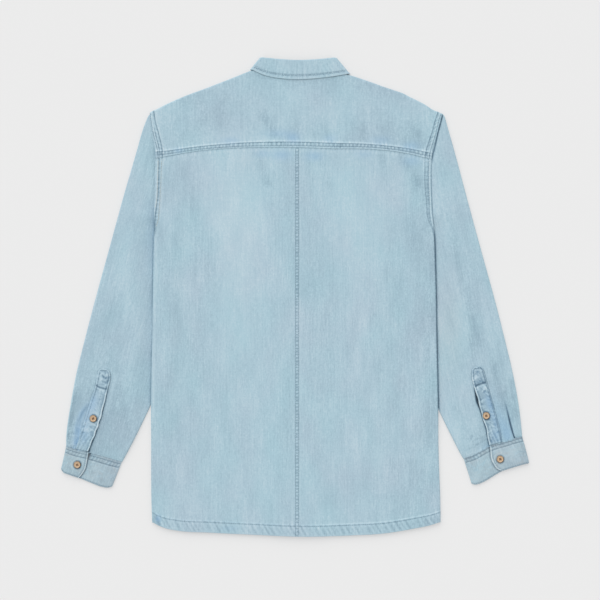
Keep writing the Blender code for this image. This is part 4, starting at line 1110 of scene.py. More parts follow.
def build_sleeve(side):
    """A tube: its upper face, the inner fold, the lower face on the table and the outer fold."""
    sign = SIGN[side]
    part = spaced((0, 6, 0.8), (6, 440, 2.6), (440, 556, 1.5), (556, SLEEVE_LENGTH, 0.8)) / SLEEVE_LENGTH
    level = np.ones(len(part))
    edges = [sleeve_plan(side, part, end * level) for end in (0, 1)]
    turns = [(sleeve_high(side, part, end * level, *edges[end]) - SLEEVE_LOW) / 2 for end in (0, 1)]
    length = np.hypot(edges[1][0] - edges[0][0], edges[1][1] - edges[0][1])
    starts = [(HALF + turn) / length for turn in turns]
    columns, shares = [], []

    def put(reach, z, share):
        out, y = sleeve_plan(side, part, reach)
        tuck = 2.2 * rise(part * SLEEVE_LENGTH, 6, 0)
        z = sleeve_high(side, part, share * level, out, y) if z is None else z * level
        columns.append((sign * (out - tuck), y, z))
        shares.append(share * level)

    def fold(end, degrees):
        turn = turns[end]
        for a in np.radians(degrees):
            inset = (HALF + turn - turn * math.cos(a)) / length
            put(1 - inset if end else inset, SLEEVE_LOW + turn + turn * math.sin(a), float(end))

    upper = spaced((0, 1, 0.5), (1, 119, 1.15), (119, 120, 0.5)) / 120
    flat = 1 - starts[0] - starts[1]
    for share in upper:
        put(starts[0] + flat * share, None, share)
    fold(1, (60, 30, 0, -30, -60))
    for share in np.linspace(1, 0, 15):
        put(starts[0] + flat * share, SLEEVE_LOW, share)
    fold(0, (-60, -30, 0, 30, 60))
    grid = np.array(columns).transpose(2, 0, 1)
    parts = np.repeat(part[:, None], len(columns), axis=1)
    values = sleeve_relief(side, parts, np.array(shares).T, grid[..., 0] * sign, grid[..., 1])
    relief, wear, shade = (value * (np.arange(len(columns)) < len(upper)) for value in values)
    turn = math.atan2(CUFF[side]["seam_out"][2:4].mean() - SLEEVE_TOP_OUT, SLEEVE_DROP) * sign
    share = rimmed(grid.shape[:2], left=False, right=False)
    return shell("denim_sleeve_" + side, grid, share, relief, wear, shade, facing=(40, 50, 1), turn=turn,
                 ring=True)


def build_cuff(side):
    """A band from its hidden end round the inner fold, along the table and over the outer fold to the
    end that laps over."""
    sign = SIGN[side]
    left = side == "left"
    end = CUFF_END[side]
    half = CUFF_CLOTH / 2

    def fold(high):
        """How far in from a fold the points round it lie, and how high, from below up."""
        turn = (high - CUFF_LOW) / 2
        return [((half + turn - turn * math.cos(a)) / CUFF_WIDTH, CUFF_LOW + turn + turn * math.sin(a))
                for a in np.radians(np.arange(-90, 91, 18))]

    under = spaced((CUFF_START, end - 0.1, 0.05), (end - 0.1, 0.97, 0.011))
    over = spaced((0.04, end - 0.012, 0.011), (end - 0.012, end, 0.004))
    path = [(reach, CUFF_UNDER) for reach in under]
    path += [(1 - inset, z) for inset, z in fold(CUFF_UNDER)[::-1]]
    path += [(reach, CUFF_LOW) for reach in np.linspace(0.94, 0.06, 18)]
    path += fold(CUFF_OVER) + [(reach, CUFF_OVER) for reach in over]
    down = spaced((0, 1, 0.5), (1, CUFF_DEPTH - 1, 1.0), (CUFF_DEPTH - 1, CUFF_DEPTH, 0.5)) / CUFF_DEPTH
    down = down[:, None] + np.zeros(len(path))
    mm = down * CUFF_DEPTH
    reach, z = (value + 0 * down for value in np.array(path).T)
    lap = np.zeros(len(path))
    lap[-24:] = np.linspace(0, 1, 24) ** 1.5
    lap_end = cuff_lap(side, down)
    reach = reach + (lap_end - end) * lap
    out, y = cuff_point(side, reach, down)
    grid = np.stack([sign * out, y, z], axis=2)

    # The seam and the edges of the cuff: painted shade in the grooves of the rows, along the seam and in
    # the gap under the lapping end, a painted highlight on that end's edge, a paler line below the rows and
    # darker lines at the hem.
    hem = CUFF_DEPTH - mm
    across = reach * CUFF_WIDTH
    top, over = z > CUFF_UNDER - 0.2, z > CUFF_OVER - 0.2
    rows = CUFF_ROWS[side]
    past = mm - rows[1]
    relief, wear = sewn(mm, across + 0.4 * mm, rows, 2.7 + sign, 6.6, 0.22, -0.25, 0.65, (0.8, 0.95), 0.2,
                        5.0)
    wear -= 0.24 + 0.15 * rise(mm, 0.3, 1.5) * rise(past, 2.0, 0.4) + 0.7 * bell(mm - 0.9, 1.2)
    wear += 0.3 * bell(past - 2.2, 1.2) * (0.7 + 0.4 * wave(across, 13.0, sign))
    wear -= lines(hem, (2.4, 0.9, 0.3), (0, 1.6, 0.45))
    near = (lap_end - reach) * CUFF_WIDTH
    relief -= 0.25 * (bell(hem - 2.2, 0.8) + bell(near - 3.0, 0.8) * over)
    rim = 1.3 * bell(near - 0.7, 1.7) * (0.85 + 0.25 * wave(mm, 12.0, 3.0 + sign))
    corner = bell(mm, 8.0) * left
    notch = (1.9 - 1.1 * down if left else 1.2 - 0.6 * down) + 1.8 * corner
    wear += over * (rim - 0.55 * bell(near - 3.6, 0.9))
    wear -= notch * bell(near + 0.9 + 0.8 * corner, 1.4 + corner) * (top & ~over)

    # Soft bumps, raised and painted lighter and darker, blotches, paler and darker patches, and the painted
    # shadow about the button.
    plain = rise(mm, 10, 18) * rise(hem, 3, 10)
    bumps = crease(across, mm, CUFF_BUMPS)
    relief += (bumps + 0.25 * np.sin(across / 17.0 + sign) * plain) * top * rise(near, 2, 8)
    blotches = wave(across + 0.5 * mm, 24.0, 4.0 + sign) * wave(mm - 0.3 * across, 19.0, 2.0)
    blotches += 1.5 * tufts(across, mm, ((0, 60), (8, 48)), 60, 31 + sign, (3.0, 7.0))
    wear += soft_patches(reach, down, CUFF_PATCHES[side]) + (0.3 * bumps + 0.14 * blotches) * plain
    wear += button_shade("button_cuff_" + side, grid) * over
    shade = -0.38 + 0.3 * tufts(across, mm, ((0, 110), (0, 50)), 90, 41 + sign, (4.0, 9.0))
    share = rimmed(mm.shape)
    return shell("denim_cuff_" + side, grid, share, relief * top * share, wear * top, shade,
                 facing=(20, len(path) - 12, 1), half=half, turn=0.35 * sign, step=3)


def sleeve_place(side, out, y):
    """The part and reach of a plan point near the end of a sleeve."""
    tried = []
    for part in np.linspace(0.55, 1, 46):
        a, b = (np.array(sleeve_plan(side, part, end)) for end in (0.0, 1.0))
        reach = np.dot((out, y) - a, b - a) / np.dot(b - a, b - a)
        tried.append((np.hypot(*(np.array(sleeve_plan(side, part, reach)) - (out, y))), part, reach))
    return min(tried)[1:]


def placket_edges(side):
    """A placket's outer and inner edge in plan, and how far its rows lie along its middle."""
    rows = PLACKET[side]
    outer, inner = (np.array((rows[edge + "_out"], rows[edge + "_y"])) for edge in ("outer", "inner"))
    return outer, inner, run_of(*(outer + inner) / 2)


def placket_rest(side):
    """How high a placket's rows lie on the sleeve."""
    outer, inner, _ = placket_edges(side)
    heights = []
    for a, b in zip(outer.T, inner.T):
        places = [a + (b - a) * share for share in (0, 0.5, 1)]
        heights.append(max(sleeve_high(side, *sleeve_place(side, *place), *place) for place in places))
    return np.array(heights) + HALF + LAY_GAP + PLACKET_CLOTH / 2


def build_placket(side):
    """A strip with a rounded top, sewn down as far as the bar of its box and free along its inner edge
    from there to the cuff."""
    sign = SIGN[side]
    right = side == "right"
    outer, inner, reached = placket_edges(side)
    length = reached[-1]
    s = spaced((0, 1, 0.5), (1, 10, 0.75), (10, length - 1, 1.1), (length - 1, length, 0.5))
    tip = 0.3 + 0.7 * np.sqrt(1 - (1 - np.minimum(s / PLACKET_TIP, 1)) ** 2)
    loose = rise(s, 40, 55) * rise(s, length, length - 12)
    share = spaced((0, 1, 0.5), (1, 22, 0.8), (22, PLACKET_WIDTH, 0.5)) / PLACKET_WIDTH
    ss, cc = np.meshgrid(share, s)
    plan = []
    for axis in (0, 1):
        middle = (smooth(reached, outer[axis], s) + smooth(reached, inner[axis], s)) / 2
        full = np.maximum(s, PLACKET_TIP)
        half_wide = (smooth(reached, outer[axis], full) - smooth(reached, inner[axis], full)) / 2 * tip
        start, end = middle + half_wide, middle - half_wide
        if axis == 0:
            end = end + 0.7 * loose * wave(s, 26.0, 2.0 + sign)
        plan.append(start[:, None] + (end - start)[:, None] * ss)
    out, y = plan

    # Rows of stitches along the edges and across the box's bar, painted dark, with painted highlights on
    # the edges, on the free edge's rim and below the bar, and painted shade beside that rim.
    across = ss * PLACKET_WIDTH
    outer_edge, inner_edge = across * tip[:, None], (PLACKET_WIDTH - across) * tip[:, None]
    middle = across - PLACKET_WIDTH / 2
    bar, slant = PLACKET_BAR[side]
    bar = bar + slant * middle + 0.012 * middle**2 * sign
    free = rise(cc, bar + 2, bar + 12)
    edge = np.minimum(np.minimum(outer_edge, inner_edge), cc)
    outside = outer_edge < inner_edge
    line = bell(edge - np.where(outside & right, 1.8, 3.2), 0.9) * (1 - 0.6 * free * (inner_edge < 11))
    line *= 1 + 0.6 * outside if right else 1 - 0.8 * outside * rise(cc, 60, 85)
    box = bell(cc - bar, 1.5) * rise(edge, 0.5, 2)
    spot = spots(cc, 7.4, 3.0 + sign) - 0.4
    relief = 0.25 * spot * rise(edge, 0, 1) * bell(edge - 5.0, 4.0) * (1 - 0.7 * free)
    relief -= 0.25 * line + 0.4 * box
    wear = 0.5 * bell(edge, 1.2) * (1 - free) - 1.4 * box
    wear -= 0.9 * line * (0.75 + 0.35 * wave(cc, 17.0, sign))
    wear += 0.6 * bell(cc - bar - 3.6, 1.4) * rise(edge, 2, 4) + 0.25 * spot * bell(outer_edge - 2.0, 3.0)
    rim = 1.25 * bell(inner_edge - 0.6, 1.5) * (0.85 + 0.25 * wave(cc, 13.0, 2.0))
    wear += free * (rim - 0.35 * bell(inner_edge - 3.8, 1.6))
    if right:
        wear += 0.9 * bell(inner_edge - 0.3, 1.3) * rise(cc, 12, 20) * (1 - free) - 0.22 * bell(cc - 60, 17)
    else:
        wear += 0.35 * bell(cc - 92, 24) * rise(outer_edge, 2, 8)

    # Knotted cloth, tightest in the box and by the button, and gathers at the cuff, painted lighter and
    # darker with their relief and bluer in their hollows as shade.
    knot = tufts(across, cc, ((1, 22), (4, 140)), 150, 11 + sign, (2.0, 4.5))
    knot += 0.8 * tufts(across, cc, ((4, 19), (5, 34)), 26, 21 + sign, (2.0, 4.0)) * (1 - free)
    tight = bell(cc - 44, 26) if right else np.maximum(bell(cc - 16, 16), 0.7 * bell(cc - 112, 22))
    force = 0.45 + (0.5 * tight + 0.35 * bell(cc - 100, 26) if right else 0.25 * tight)
    gather = rise(cc, 100, 128)
    ripple = wave(across + 0.25 * cc, 6.0, 1.0 + sign) * gather
    lift = (0.9 + 0.35 * np.sin(cc / 9.0 + sign)) * free * rise(inner_edge, 7, 0)
    high = smooth(reached, placket_rest(side), s)[:, None]
    grid = np.stack([sign * out, y, high + lift], axis=2)
    relief += (0.2 + 0.15 * tight) * knot + 0.3 * ripple
    wear += force * knot + button_shade("button_placket_" + side, grid)
    wear += (0.42 if right else 0.25) * ripple - 0.2 * gather - (0.3 if right else 0.12)
    shade = 0.08 + 0.75 * soft_patches(cc, across, PLACKET_SHADES) * free
    shade += (0.3 if right else 0.12) * np.maximum(0, -knot)
    share = rimmed(cc.shape)
    return shell("denim_sleeve_placket_" + side, grid, share, relief * share, wear, shade,
                 facing=(30, 10, 1), half=PLACKET_CLOTH / 2, turn=0.3 * sign, step=3)


# The collar


def back_y(name, x):
    """Where the foot, the head and the tip of the collar lie at the back."""
    if name == "foot":
        return along(BACK_NECK, x) + FOOT_GAP
    if name == "head":
        return along(COLLAR_FOLD, x) - HALF - COLLAR_TURN - LEAF_RISE
    return along(COLLAR_EDGE, x)


def collar_stations(end, steps):
    """Places round the collar from the left front to the right one, by side, zone and value."""
    front, side, back = steps
    values = {"front": np.linspace(0, end, front), "side": np.linspace(0, 180, side + 2)[1:-1]}
    stations = [("left", zone, value) for zone in ("front", "side") for value in values[zone][::-1]]
    stations += [("left", "back", q) for q in np.linspace(-1, 0, back, endpoint=False)]
    stations += [("right", "back", q) for q in np.linspace(0, 1, back + 1)]
    return stations + [("right", zone, value) for zone in ("side", "front") for value in values[zone]]


LEAF_STATIONS = collar_stations(5.4, (70, 12, 55))


def collar_plan(side, zone, value, name, turn):
    """A plan point on the collar's foot, head or tip; turn is the radius of the fold at its sides."""
    part = abs(value) if zone == "back" else 1
    out = part * (COLLAR_WIDTH[side][name] - turn)
    y = back_y(name, SIGN[side] * out)
    if zone == "side":
        out += turn * math.sin(math.radians(value))
    if zone == "front":
        out *= along(COLLAR_FRONT, value, name + "_out")
        y += (COLLAR_END_Y[name] - y) * along(COLLAR_FRONT, value, name + "_drop")
    return np.array((out, y))


def collar_place(side, zone, value, start, finish, share, over, beyond):
    """A point of the collar, a share of the way from its start to its finish, which are its foot, head
    or tip. over is 0 on the stand and 1 on the leaf, and beyond is how far past the head it lies."""
    sign = SIGN[side]
    bend = sign * COLLAR_WIDTH[side][start]
    high = back_mid(bend, COLLAR_Y) + 2 * COLLAR_TURN * over
    low = front_mid(bend, COLLAR_Y) + (LEAF_LOW - front_mid(bend, COLLAR_Y)) * over
    turn = (high - low) / 2
    foot, head, first, last = (collar_plan(side, zone, value, name, turn)
                               for name in ("foot", "head", start, finish))
    out, y = first + (last - first) * share + beyond * (head - foot) / np.linalg.norm(head - foot)
    if start == "head" and zone != "front":
        out += COLLAR_SPREAD * over * (1 - share) * (abs(value) if zone == "back" else 1)
    x = sign * out
    if zone == "side":
        return x, y, low + turn + turn * math.cos(math.radians(value))
    if zone == "back":
        return x, y, back_mid(x, COLLAR_Y) + 2 * COLLAR_TURN * over
    stand = front_mid(x, y) + overlap(side, x)
    return x, y, stand + (LEAF_LOW - stand) * over


def build_collar_stand():
    stations = collar_stations(7, (40, 7, 30))
    grid = np.array([[collar_place(*station, "foot", "head", share, 0, 0) for station in stations]
                     for share in np.linspace(0, 1, 13)])
    share = rimmed(grid.shape[:2])
    return shell("denim_collar_stand", grid, share, 0 * share, 0, facing=(6, 70, 1))


def build_collar_leaf():
    """The leaf rises from the stand, turns over and falls to its edge."""
    rows = [(0, 0, LEAF_GAP), (0, 0, LEAF_RISE)]
    rows += [(0, (1 - math.cos(a)) / 2, LEAF_RISE + COLLAR_TURN * math.sin(a))
             for a in np.linspace(0, math.pi, 12)[1:-1]]
    falls = np.concatenate([np.linspace(0, 0.6, 13)[:-1], np.linspace(0.6, 0.97, 18), [0.985, 1]])
    rows += [(share, 1, LEAF_RISE * (1 - share)) for share in falls]
    grid = np.array([[collar_place(*station, "head", "tip", *row) for station in LEAF_STATIONS]
                     for row in rows])
    fall = np.array(rows)[:, :1] + 0 * grid[..., 0]
    edge = (1 - fall) * np.linalg.norm(grid[-1] - grid[12], axis=1)
    steps = np.linalg.norm(np.diff(grid[-8], axis=0), axis=1)
    s = np.concatenate([[0], np.cumsum(steps)]) + 0 * fall
    visible = rise(fall, 0.02, 0.15)
    # The rows' grooves are painted dark as shade, and a paler line follows the leaf's edge.
    relief, wear = sewn(edge, s, LEAF_ROWS, 6.1, 6.4, 0.1, -0.35, 1.05, (0.42, 0.4), 0.32, 6.0)
    broad = 0.1 * wave(s, 47, 1.0) * rise(edge, 3, 14)
    streaks = 0.13 * wave(s, 11.0, 2.0) + 0.13 * wave(s, 4.7, 1.0) * (0.5 + 0.5 * wave(edge, 19.0, 3.0))
    wear = 0.05 + (wear + streaks * rise(edge, 8, 14)) * visible + 0.2 * bell(edge - 1.0, 1.2)
    share = rimmed(fall.shape)
    return shell("denim_collar_leaf", grid, share, (relief + broad) * visible * share, wear,
                 facing=(20, 100, 1))


# Materials


def node(tree, kind, **settings):
    """A shader node, with its settings and the values of its inputs."""
    made = tree.nodes.new(kind)
    for key, value in settings.items():
        if key in made.bl_rna.properties:
            setattr(made, key, value)
        else:
            made.inputs[key].default_value = value
    return made


def feed(socket, value):
    """Links an input to an output, or sets it to a number or a colour."""
    if isinstance(value, bpy.types.NodeSocket):
        socket.id_data.links.new(value, socket)
    else:
        socket.default_value = (*value, 1) if isinstance(value, tuple) else value


def noise(source, scale, detail=2.0, roughness=0.5):
    """Noise, as fine as scale says in x, y and z."""
    place = node(source.id_data, "ShaderNodeMapping", Scale=scale)
    feed(place.inputs["Vector"], source)
    made = node(source.id_data, "ShaderNodeTexNoise", Scale=1.0, Detail=detail, Roughness=roughness)
    feed(made.inputs["Vector"], place.outputs["Vector"])
    return made.outputs["Fac"]


def maths(operation, *values, clamp=False):
    """A sum, a product or the like; the first value is another node's output."""
    made = node(values[0].id_data, "ShaderNodeMath", operation=operation, use_clamp=clamp)
    for socket, value in zip(made.inputs, values):
        feed(socket, value)
    return made.outputs["Value"]


def scaled(value, by, clamp=False):
    return maths("MULTIPLY", value, by, clamp=clamp)


def added(*values):
    total = values[0]
    for value in values[1:]:
        total = maths("ADD", total, value)
    return total


def mixed(share, a, b):
    """One colour turning into another as share goes from 0 to 1."""
    made = node(share.id_data, "ShaderNodeMix", data_type="RGBA")
    for at, value in ((0, share), (6, a), (7, b)):
        feed(made.inputs[at], value)
    return made.outputs[2]


def material(name, roughness):
    """A new material, its node tree and its shader."""
    made = bpy.data.materials.new(name)
    made.use_nodes = True
    shader = made.node_tree.nodes["Principled BSDF"]
    shader.inputs["Roughness"].default_value = roughness
    return made, made.node_tree, shader


def bump(shader, height, strength, distance):
    """Fine relief in a material; distance is in metres."""
    made = node(height.id_data, "ShaderNodeBump", Strength=strength, Distance=distance)
    feed(made.inputs["Height"], height)
    feed(shader.inputs["Normal"], made.outputs["Normal"])


def stored(tree, name, output="Fac"):
    """A value kept at the points of a mesh."""
    return node(tree, "ShaderNodeAttribute", attribute_name=name).outputs[output]


def denim_material():
    made, tree, shader = material("washed_denim", 0.88)
    shader.inputs["Specular IOR Level"].default_value = 0.25
    grain = stored(tree, "grain", "Vector")
    split = node(tree, "ShaderNodeSeparateXYZ")
    feed(split.inputs["Vector"], grain)

    # Twill: fine ribs that climb across the cloth, broken up by the yarns.
    ribs = added(scaled(split.outputs["X"], 5200.0), scaled(split.outputs["Y"], 3900.0))
    ribs = maths("SINE", added(ribs, scaled(noise(grain, (1500, 260, 1)), 5.0)))
    twill = maths("MULTIPLY_ADD", ribs, 0.5, 0.5)
    fine = noise(grain, (1300, 70, 1), 2.0, 0.6)
    cross = noise(grain, (60, 700, 1))
    weights = (
        (noise(grain, (340, 14, 1), 3.0, 0.6), 0.8),
        (fine, 0.5),
        (cross, 0.3),
        (noise(grain, (36, 13, 1), 3.0, 0.6), 0.75),
        (noise(grain, (12, 5, 1)), 0.5),
        (twill, 0.16),
        (noise(grain, (470, 110, 1), 2.0, 0.6), 0.85),
        (noise(grain, (420, 300, 1), 2.0, 0.6), 0.9),
    )
    tone = added(*(scaled(maths("SUBTRACT", value, 0.5), weight) for value, weight in weights))

    # Pale yarns stand out more than deep ones; the stored values for faded cloth and for painted light and
    # shade are added.
    tone = added(tone, scaled(maths("ABSOLUTE", tone), 0.3), maths("SUBTRACT", stored(tree, "wear"), 0.045))
    hue = maths("SUBTRACT", noise(grain, (13, 8, 1)), 0.5)
    hue = maths("ADD", scaled(hue, 2.6), 0.5, clamp=True)
    colour = mixed(hue, *CLOTH_COLOURS)
    shade = stored(tree, "shade")
    # The colour turns paler for faded cloth and painted highlights, deeper for dark lines and painted
    # shade, near black in the deepest painted shadows, bluer with painted shade and greyer below it.
    deep_shadow_share = maths("ADD", tone, 1.35)
    changes = ((tone, 0.62, FADED_AND_HIGHLIGHT_COLOUR), (tone, -0.78, DEEP_COLOUR), (deep_shadow_share, -0.9, DEEP_SHADOW_COLOUR),
               (shade, 0.55, SHADE_COLOUR), (shade, -0.55, GREY_COLOUR))
    for value, by, toward in changes:
        colour = mixed(scaled(value, by, clamp=True), colour, toward)
    feed(shader.inputs["Base Color"], colour)
    bump(shader, added(scaled(twill, 0.6), scaled(fine, 0.7), scaled(cross, 0.3)), 0.35, 0.00025)
    return made


def thread_material(name, colour):
    made, tree, shader = material(name, 0.75)
    fibre = noise(node(tree, "ShaderNodeTexCoord").outputs["Object"], (2600, 2600, 2600))
    pale = tuple(min(1, c * 1.2) for c in colour)
    feed(shader.inputs["Base Color"], mixed(fibre, tuple(c * 0.75 for c in colour), pale))
    bump(shader, fibre, 0.3, 0.0001)
    return made


def button_material():
    made, tree, shader = material("brown_button", 0.38)
    place = node(tree, "ShaderNodeTexCoord").outputs["Object"]
    rings = noise(place, (900, 130, 400), 3.0, 0.6)
    cloud = noise(place, (140, 140, 140))
    dark, pale, warm = BUTTON_COLOURS
    colour = mixed(scaled(cloud, 0.4), mixed(rings, dark, pale), warm)
    feed(shader.inputs["Base Color"], mixed(stored(tree, "dip"), colour, BUTTON_DARK))
    bump(shader, rings, 0.15, 0.0002)
    return made


DENIM = denim_material()
THREAD = thread_material("blue_thread", (0.20, 0.30, 0.38))
PALE_THREAD = thread_material("pale_thread", (0.62, 0.62, 0.55))
BUTTON_THREAD = thread_material("button_thread", (0.24, 0.11, 0.05))
BUTTON = button_material()


# Stitches and buttons


def bands(index):
    """Faces between rings of points, by their numbers."""
    after = np.roll(index, -1, axis=1)
    return np.stack([index[:-1], index[1:], after[1:], after[:-1]], axis=-1).reshape(-1, 4)


def tubes(name, runs, sides, tall, thread, slot):
    """Threads along runs of centres, each with its radii and the direction across it."""
    turn = 2 * np.pi * np.arange(sides) / sides
    points, quads, caps = [], [], []
    for centres, radii, across in runs:
        ring = np.cos(turn)[:, None] * across + np.sin(turn)[:, None] * (0, 0, tall)
        index = len(points) * len(centres) * sides + np.arange(len(centres) * sides).reshape(-1, sides)
        points.append(np.array(centres)[:, None] + np.array(radii)[:, None, None] * ring)
        quads.append(bands(index))
        caps += [index[0], index[-1][::-1]]
    return mesh_object(name, np.concatenate(points).reshape(-1, 3), [np.concatenate(quads), np.array(caps)],
                       thread, slot)


def surface_of(objs):
    """Finds how high the cloth lies at a plan point."""
    trees = []
    for obj in objs:
        points = [vertex.co for vertex in obj.data.vertices]
        trees.append(BVHTree.FromPolygons(points, [tuple(face.vertices) for face in obj.data.polygons]))

    def find(x, y):
        start = Vector(((x + HOME[0]) * MM, (y + HOME[1]) * MM, 0.1))
        hits = (tree.ray_cast(start, Vector((0, 0, -1)))[0] for tree in trees)
        return max((hit.z / MM for hit in hits if hit is not None), default=None)

    return find


def even_points(path, spacing):
    """Points spaced evenly along a line of plan points."""
    xs, ys = np.array(path, float).T
    reached = run_of(xs, ys)
    s = np.arange(0, reached[-1], spacing)
    return np.interp(s, reached, xs), np.interp(s, reached, ys)


def sew(name, paths, objs, thread=THREAD, length=3.4):
    """Stitches along plan paths, each a short thread that dips into the cloth at its ends."""
    find = surface_of(objs)
    shares, sinks, radii = np.array(STITCH).T
    runs = []
    for path in paths:
        xs, ys = even_points(path, length)
        for x0, y0, x1, y1 in zip(xs, ys, xs[1:], ys[1:]):
            places = [(x0 + (x1 - x0) * STITCH_FILL * share, y0 + (y1 - y0) * STITCH_FILL * share)
                      for share in shares]
            heights = [find(*place) for place in places]
            if None not in heights:
                across = np.array((y0 - y1, x1 - x0, 0.0)) / math.hypot(x1 - x0, y1 - y0)
                centres = np.column_stack([places, heights + sinks])
                runs.append((centres, STITCH_RADIUS * radii, across))
    tubes(name, runs, 6, 0.85, thread, "denim")


def button_thread(name, place):
    """Two crossed loops of thread through the holes."""
    t = np.linspace(-1, 1, 13)
    runs = []
    for k in range(2):
        a = HOLE_TURN + k * math.pi / 2
        ahead, across = np.array(((math.cos(a), math.sin(a), 0), (-math.sin(a), math.cos(a), 0)))
        lift = 0.42 * np.sqrt(1 - t * t) + 0.12 * k - np.maximum(0, np.abs(t) - 0.86) / 0.14
        centres = place + 1.85 * t[:, None] * ahead + lift[:, None] * (0, 0, 1)
        runs += [(centres + offset * across, np.full(len(t), 0.24), across) for offset in (-0.22, 0.22)]
    tubes(name, runs, 8, 1, BUTTON_THREAD, "button")


def button(name, down=False):
    """A four-hole button with a raised rim and a shallow dish, turned with its face up or down."""
    place = box_centre(name) - HOME
    rings = np.concatenate([np.linspace(0.35, 4.4, 16), np.linspace(4.6, BUTTON_RADIUS, 10)])
    turns = 40 if down else 56
    angle = 2 * np.pi * np.arange(turns) / turns
    rr, aa = np.meshgrid(rings, angle, indexing="ij")
    holes = HOLE_TURN + np.arange(4)[:, None, None] * math.pi / 2
    gap = np.hypot(rr * np.cos(aa) - HOLE_OUT * np.cos(holes), rr * np.sin(aa) - HOLE_OUT * np.sin(holes))
    hole = rise(gap, 0.85, 0.5).max(axis=0)
    face = BUTTON_THICK + np.interp(rr, *BUTTON_FACE.values()) - 1.15 * hole

    # Its centre, the rings of its face, those of its underside and the centre of that.
    under = np.array(((1, BUTTON_THICK * 0.35), (0.93, 0.12), (0.85, 0.0)))
    wide = np.concatenate([rr, BUTTON_RADIUS * under[:, :1] + np.zeros(turns)])
    high = np.concatenate([face, under[:, 1:] + np.zeros(turns)])
    body = np.stack([wide * np.cos(angle), wide * np.sin(angle), high], axis=2).reshape(-1, 3)
    points = np.concatenate([[[0, 0, BUTTON_THICK + BUTTON_FACE["z"][0]]], body, [[0, 0, 0]]])
    # Painted shade darkens the holes and the rim, the rim more on one side than the other, and the middle
    # and the underside are darker too.
    uneven = 0.74 + 0.26 * np.cos(aa + 0.6) + 0.12 * np.sin(5 * aa + place[0])
    dark = hole * 0.95 + 0.4 * bell(rr, 2.7) + 0.95 * rise(rr, 4.7, 5.7) * uneven
    dip = np.concatenate([[0.3], dark.ravel(), np.full(3 * turns, 0.9), [0]])
    index = 1 + np.arange(wide.size).reshape(wide.shape)
    ends = [np.stack([0 * row + tip, row, np.roll(row, -1)], axis=1)
            for row, tip in ((index[0], 0), (index[-1][::-1], len(points) - 1))]
    if down:
        points = points * (1, 1, -1) + (0, 0, BUTTON_THICK)
    faces = [bands(index), np.concatenate(ends)]
    made = mesh_object("brown_" + name, points + place, faces, BUTTON, "button", dip=dip)
    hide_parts(name)
    if not down:
        button_thread("brown_" + name + "_thread", place + (0, 0, BUTTON_THICK - 0.5))


yoke = build_yoke()
backs = {side: build_back(side) for side in SIDES}
fronts = {side: build_front(side) for side in SIDES}
sleeves = {side: build_sleeve(side) for side in SIDES}
cuffs = {side: build_cuff(side) for side in SIDES}
plackets = {side: build_placket(side) for side in SIDES}
stand = build_collar_stand()
leaf = build_collar_leaf()

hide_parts("back_yoke")
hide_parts("collar_stand")
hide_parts("collar_leaf")
for side in SIDES:
    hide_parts("back_" + side)
    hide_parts("front_" + side)
    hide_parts("sleeve_" + side)
    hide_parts("cuff_" + side)
    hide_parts("sleeve_placket_" + side)


def cuff_plan(side, reach, down):
    """A plan point of the cuff, across the shirt from its middle."""
    out, y = cuff_point(side, reach, down)
    return SIGN[side] * out, y


def armhole_path(side, which, low, high, count):
    """One row of stitches round an armhole."""
    ys = np.linspace(low, high, count)
    return [(SIGN[side] * (side_out(side, y) - armhole_rows(side, y)[which]), y) for y in ys]


def placket_path(side, at, shares):
    """Points across or along a placket: at is a distance down it, shares run from its outer edge."""
    outer, inner, reached = placket_edges(side)
    points = []
    for s, share in zip(np.broadcast_to(at, np.shape(shares)), shares):
        a, b = (np.array([smooth(reached, axis, s) for axis in edge]) for edge in (outer, inner))
        points.append((a + (b - a) * share) * (SIGN[side], 1))
    return points


xs = np.linspace(-250, 236, 160)
sew("stitches_yoke", [[(x, along(YOKE_SEAM, x) + along(YOKE_ROWS, x, name)) for x in xs]
                      for name in ("low", "high")], [yoke])
sew("stitches_centre", [[(CENTRE_SEAM_X + d, y) for y in np.linspace(266, -431, 120)] for d in CENTRE_ROWS],
    [backs["right"]])
for side in SIDES:
    upper = [armhole_path(side, which, 251, 343, 40) for which in (0, 1)]
    lower = [armhole_path(side, which, low, 250, 50) for which, low in ((0, 162), (1, 128))]
    body = [yoke, backs[side]]
    sew("stitches_armhole_" + side, lower, body, PALE_THREAD if side == "left" else THREAD)
    sew("stitches_armhole_upper_" + side, upper, body)
    xs = np.linspace(-4.5 if side == "right" else -5, SIGN[side] * 256, 80)
    sew("stitches_hem_" + side, [[(x, along(HEM, x) + HEM_STRIP - HEM_LINE) for x in xs]], [backs[side]])
    rows = []
    for down in np.array(CUFF_ROWS[side]) / CUFF_DEPTH:
        end = cuff_lap(side, down)
        for a, b in ((0.02, end - 0.035), (end + 0.015, 0.98)):
            rows.append([cuff_plan(side, reach, down) for reach in np.linspace(a, b, 30)])
    rows.append([cuff_plan(side, reach, 1 - CUFF_HEM_ROW / CUFF_DEPTH)
                 for reach in np.linspace(0.03, 0.97, 50)])
    rows.append([cuff_plan(side, cuff_lap(side, down) - CUFF_LAP_ROW / CUFF_WIDTH, down)
                 for down in np.linspace(0.05, 0.93, 24)])
    sew("stitches_cuff_" + side, rows, [cuffs[side]])
for side in SIDES:
    at = np.linspace(2.4, 138, 60)[2:]
    rows = [placket_path(side, at, np.full(len(at), row / PLACKET_WIDTH)) for row in PLACKET_ROWS[side]]
    rows += [placket_path(side, at, np.linspace(0.14, 0.86, 10)) for at in (3.2, PLACKET_BAR[side][0])]
    sew("stitches_placket_" + side, rows, [plackets[side]], length=3.0)
rows = []
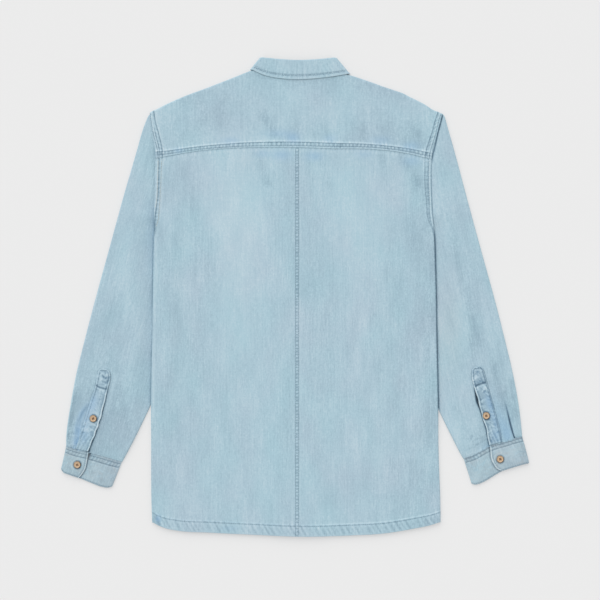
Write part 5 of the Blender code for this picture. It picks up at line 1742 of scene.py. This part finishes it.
for share in (1 - d / LEAF_DEPTH for d in LEAF_ROWS):
    rows.append([collar_place(*station, "head", "tip", share, 1, LEAF_RISE * (1 - share))[:2]
                 for station in LEAF_STATIONS if station[1] == "back"])
sew("stitches_collar", rows, [leaf])

for name in ("button_cuff_left", "button_placket_left", "button_cuff_right", "button_placket_right"):
    button(name)
for name in ["button_stand"] + [f"button_front_{n}" for n in range(1, 8)]:
    button(name, down=True)


# Floor, light and camera

mesh = bpy.data.meshes.new("floor")
corners = [(x * FLOOR_REACH, y * FLOOR_REACH, 0) for x, y in ((-1, -1), (1, -1), (1, 1), (-1, 1))]
mesh.from_pydata(corners, [], [(0, 1, 2, 3)])
made, tree, shader = material("pale_floor", 0.9)
place = node(tree, "ShaderNodeTexCoord").outputs["Object"]
feed(shader.inputs["Base Color"], mixed(noise(place, (3, 3, 3)), *FLOOR_COLOURS))
feed(shader.inputs["Specular IOR Level"], 0.1)
feed(shader.inputs["Emission Color"], (1, 1, 1))
feed(shader.inputs["Emission Strength"], FLOOR_GLOW)
mesh.materials.append(made)
floor = bpy.data.objects.new("floor", mesh)
floor.location.z = FLOOR_Z

sun = bpy.data.lights.new("key", "SUN")
sun.angle = math.radians(SUN_SPREAD)
sun.energy = SUN_STRENGTH
lamp = bpy.data.objects.new("key", sun)
lamp.location = SUN_PLACE
lamp.rotation_mode = "QUATERNION"
lamp.rotation_quaternion = (-lamp.location).to_track_quat("-Z", "Y")

scene = bpy.context.scene
scene.world = bpy.data.worlds.new("studio")
scene.world.use_nodes = True
sky = scene.world.node_tree.nodes["Background"]
feed(sky.inputs["Color"], (1, 1, 1))
feed(sky.inputs["Strength"], SKY_STRENGTH)
scene.view_settings.view_transform = "Standard"

camera = bpy.data.objects.new("camera", bpy.data.cameras.new("camera"))
camera.data.lens = LENS
camera.data.sensor_width = SENSOR
camera.location = (HOME + CAMERA_PLACE) * MM
camera.location.z += VIEW_WIDTH * LENS / SENSOR
for obj in (floor, lamp, camera):
    scene.collection.objects.link(obj)
scene.camera = camera
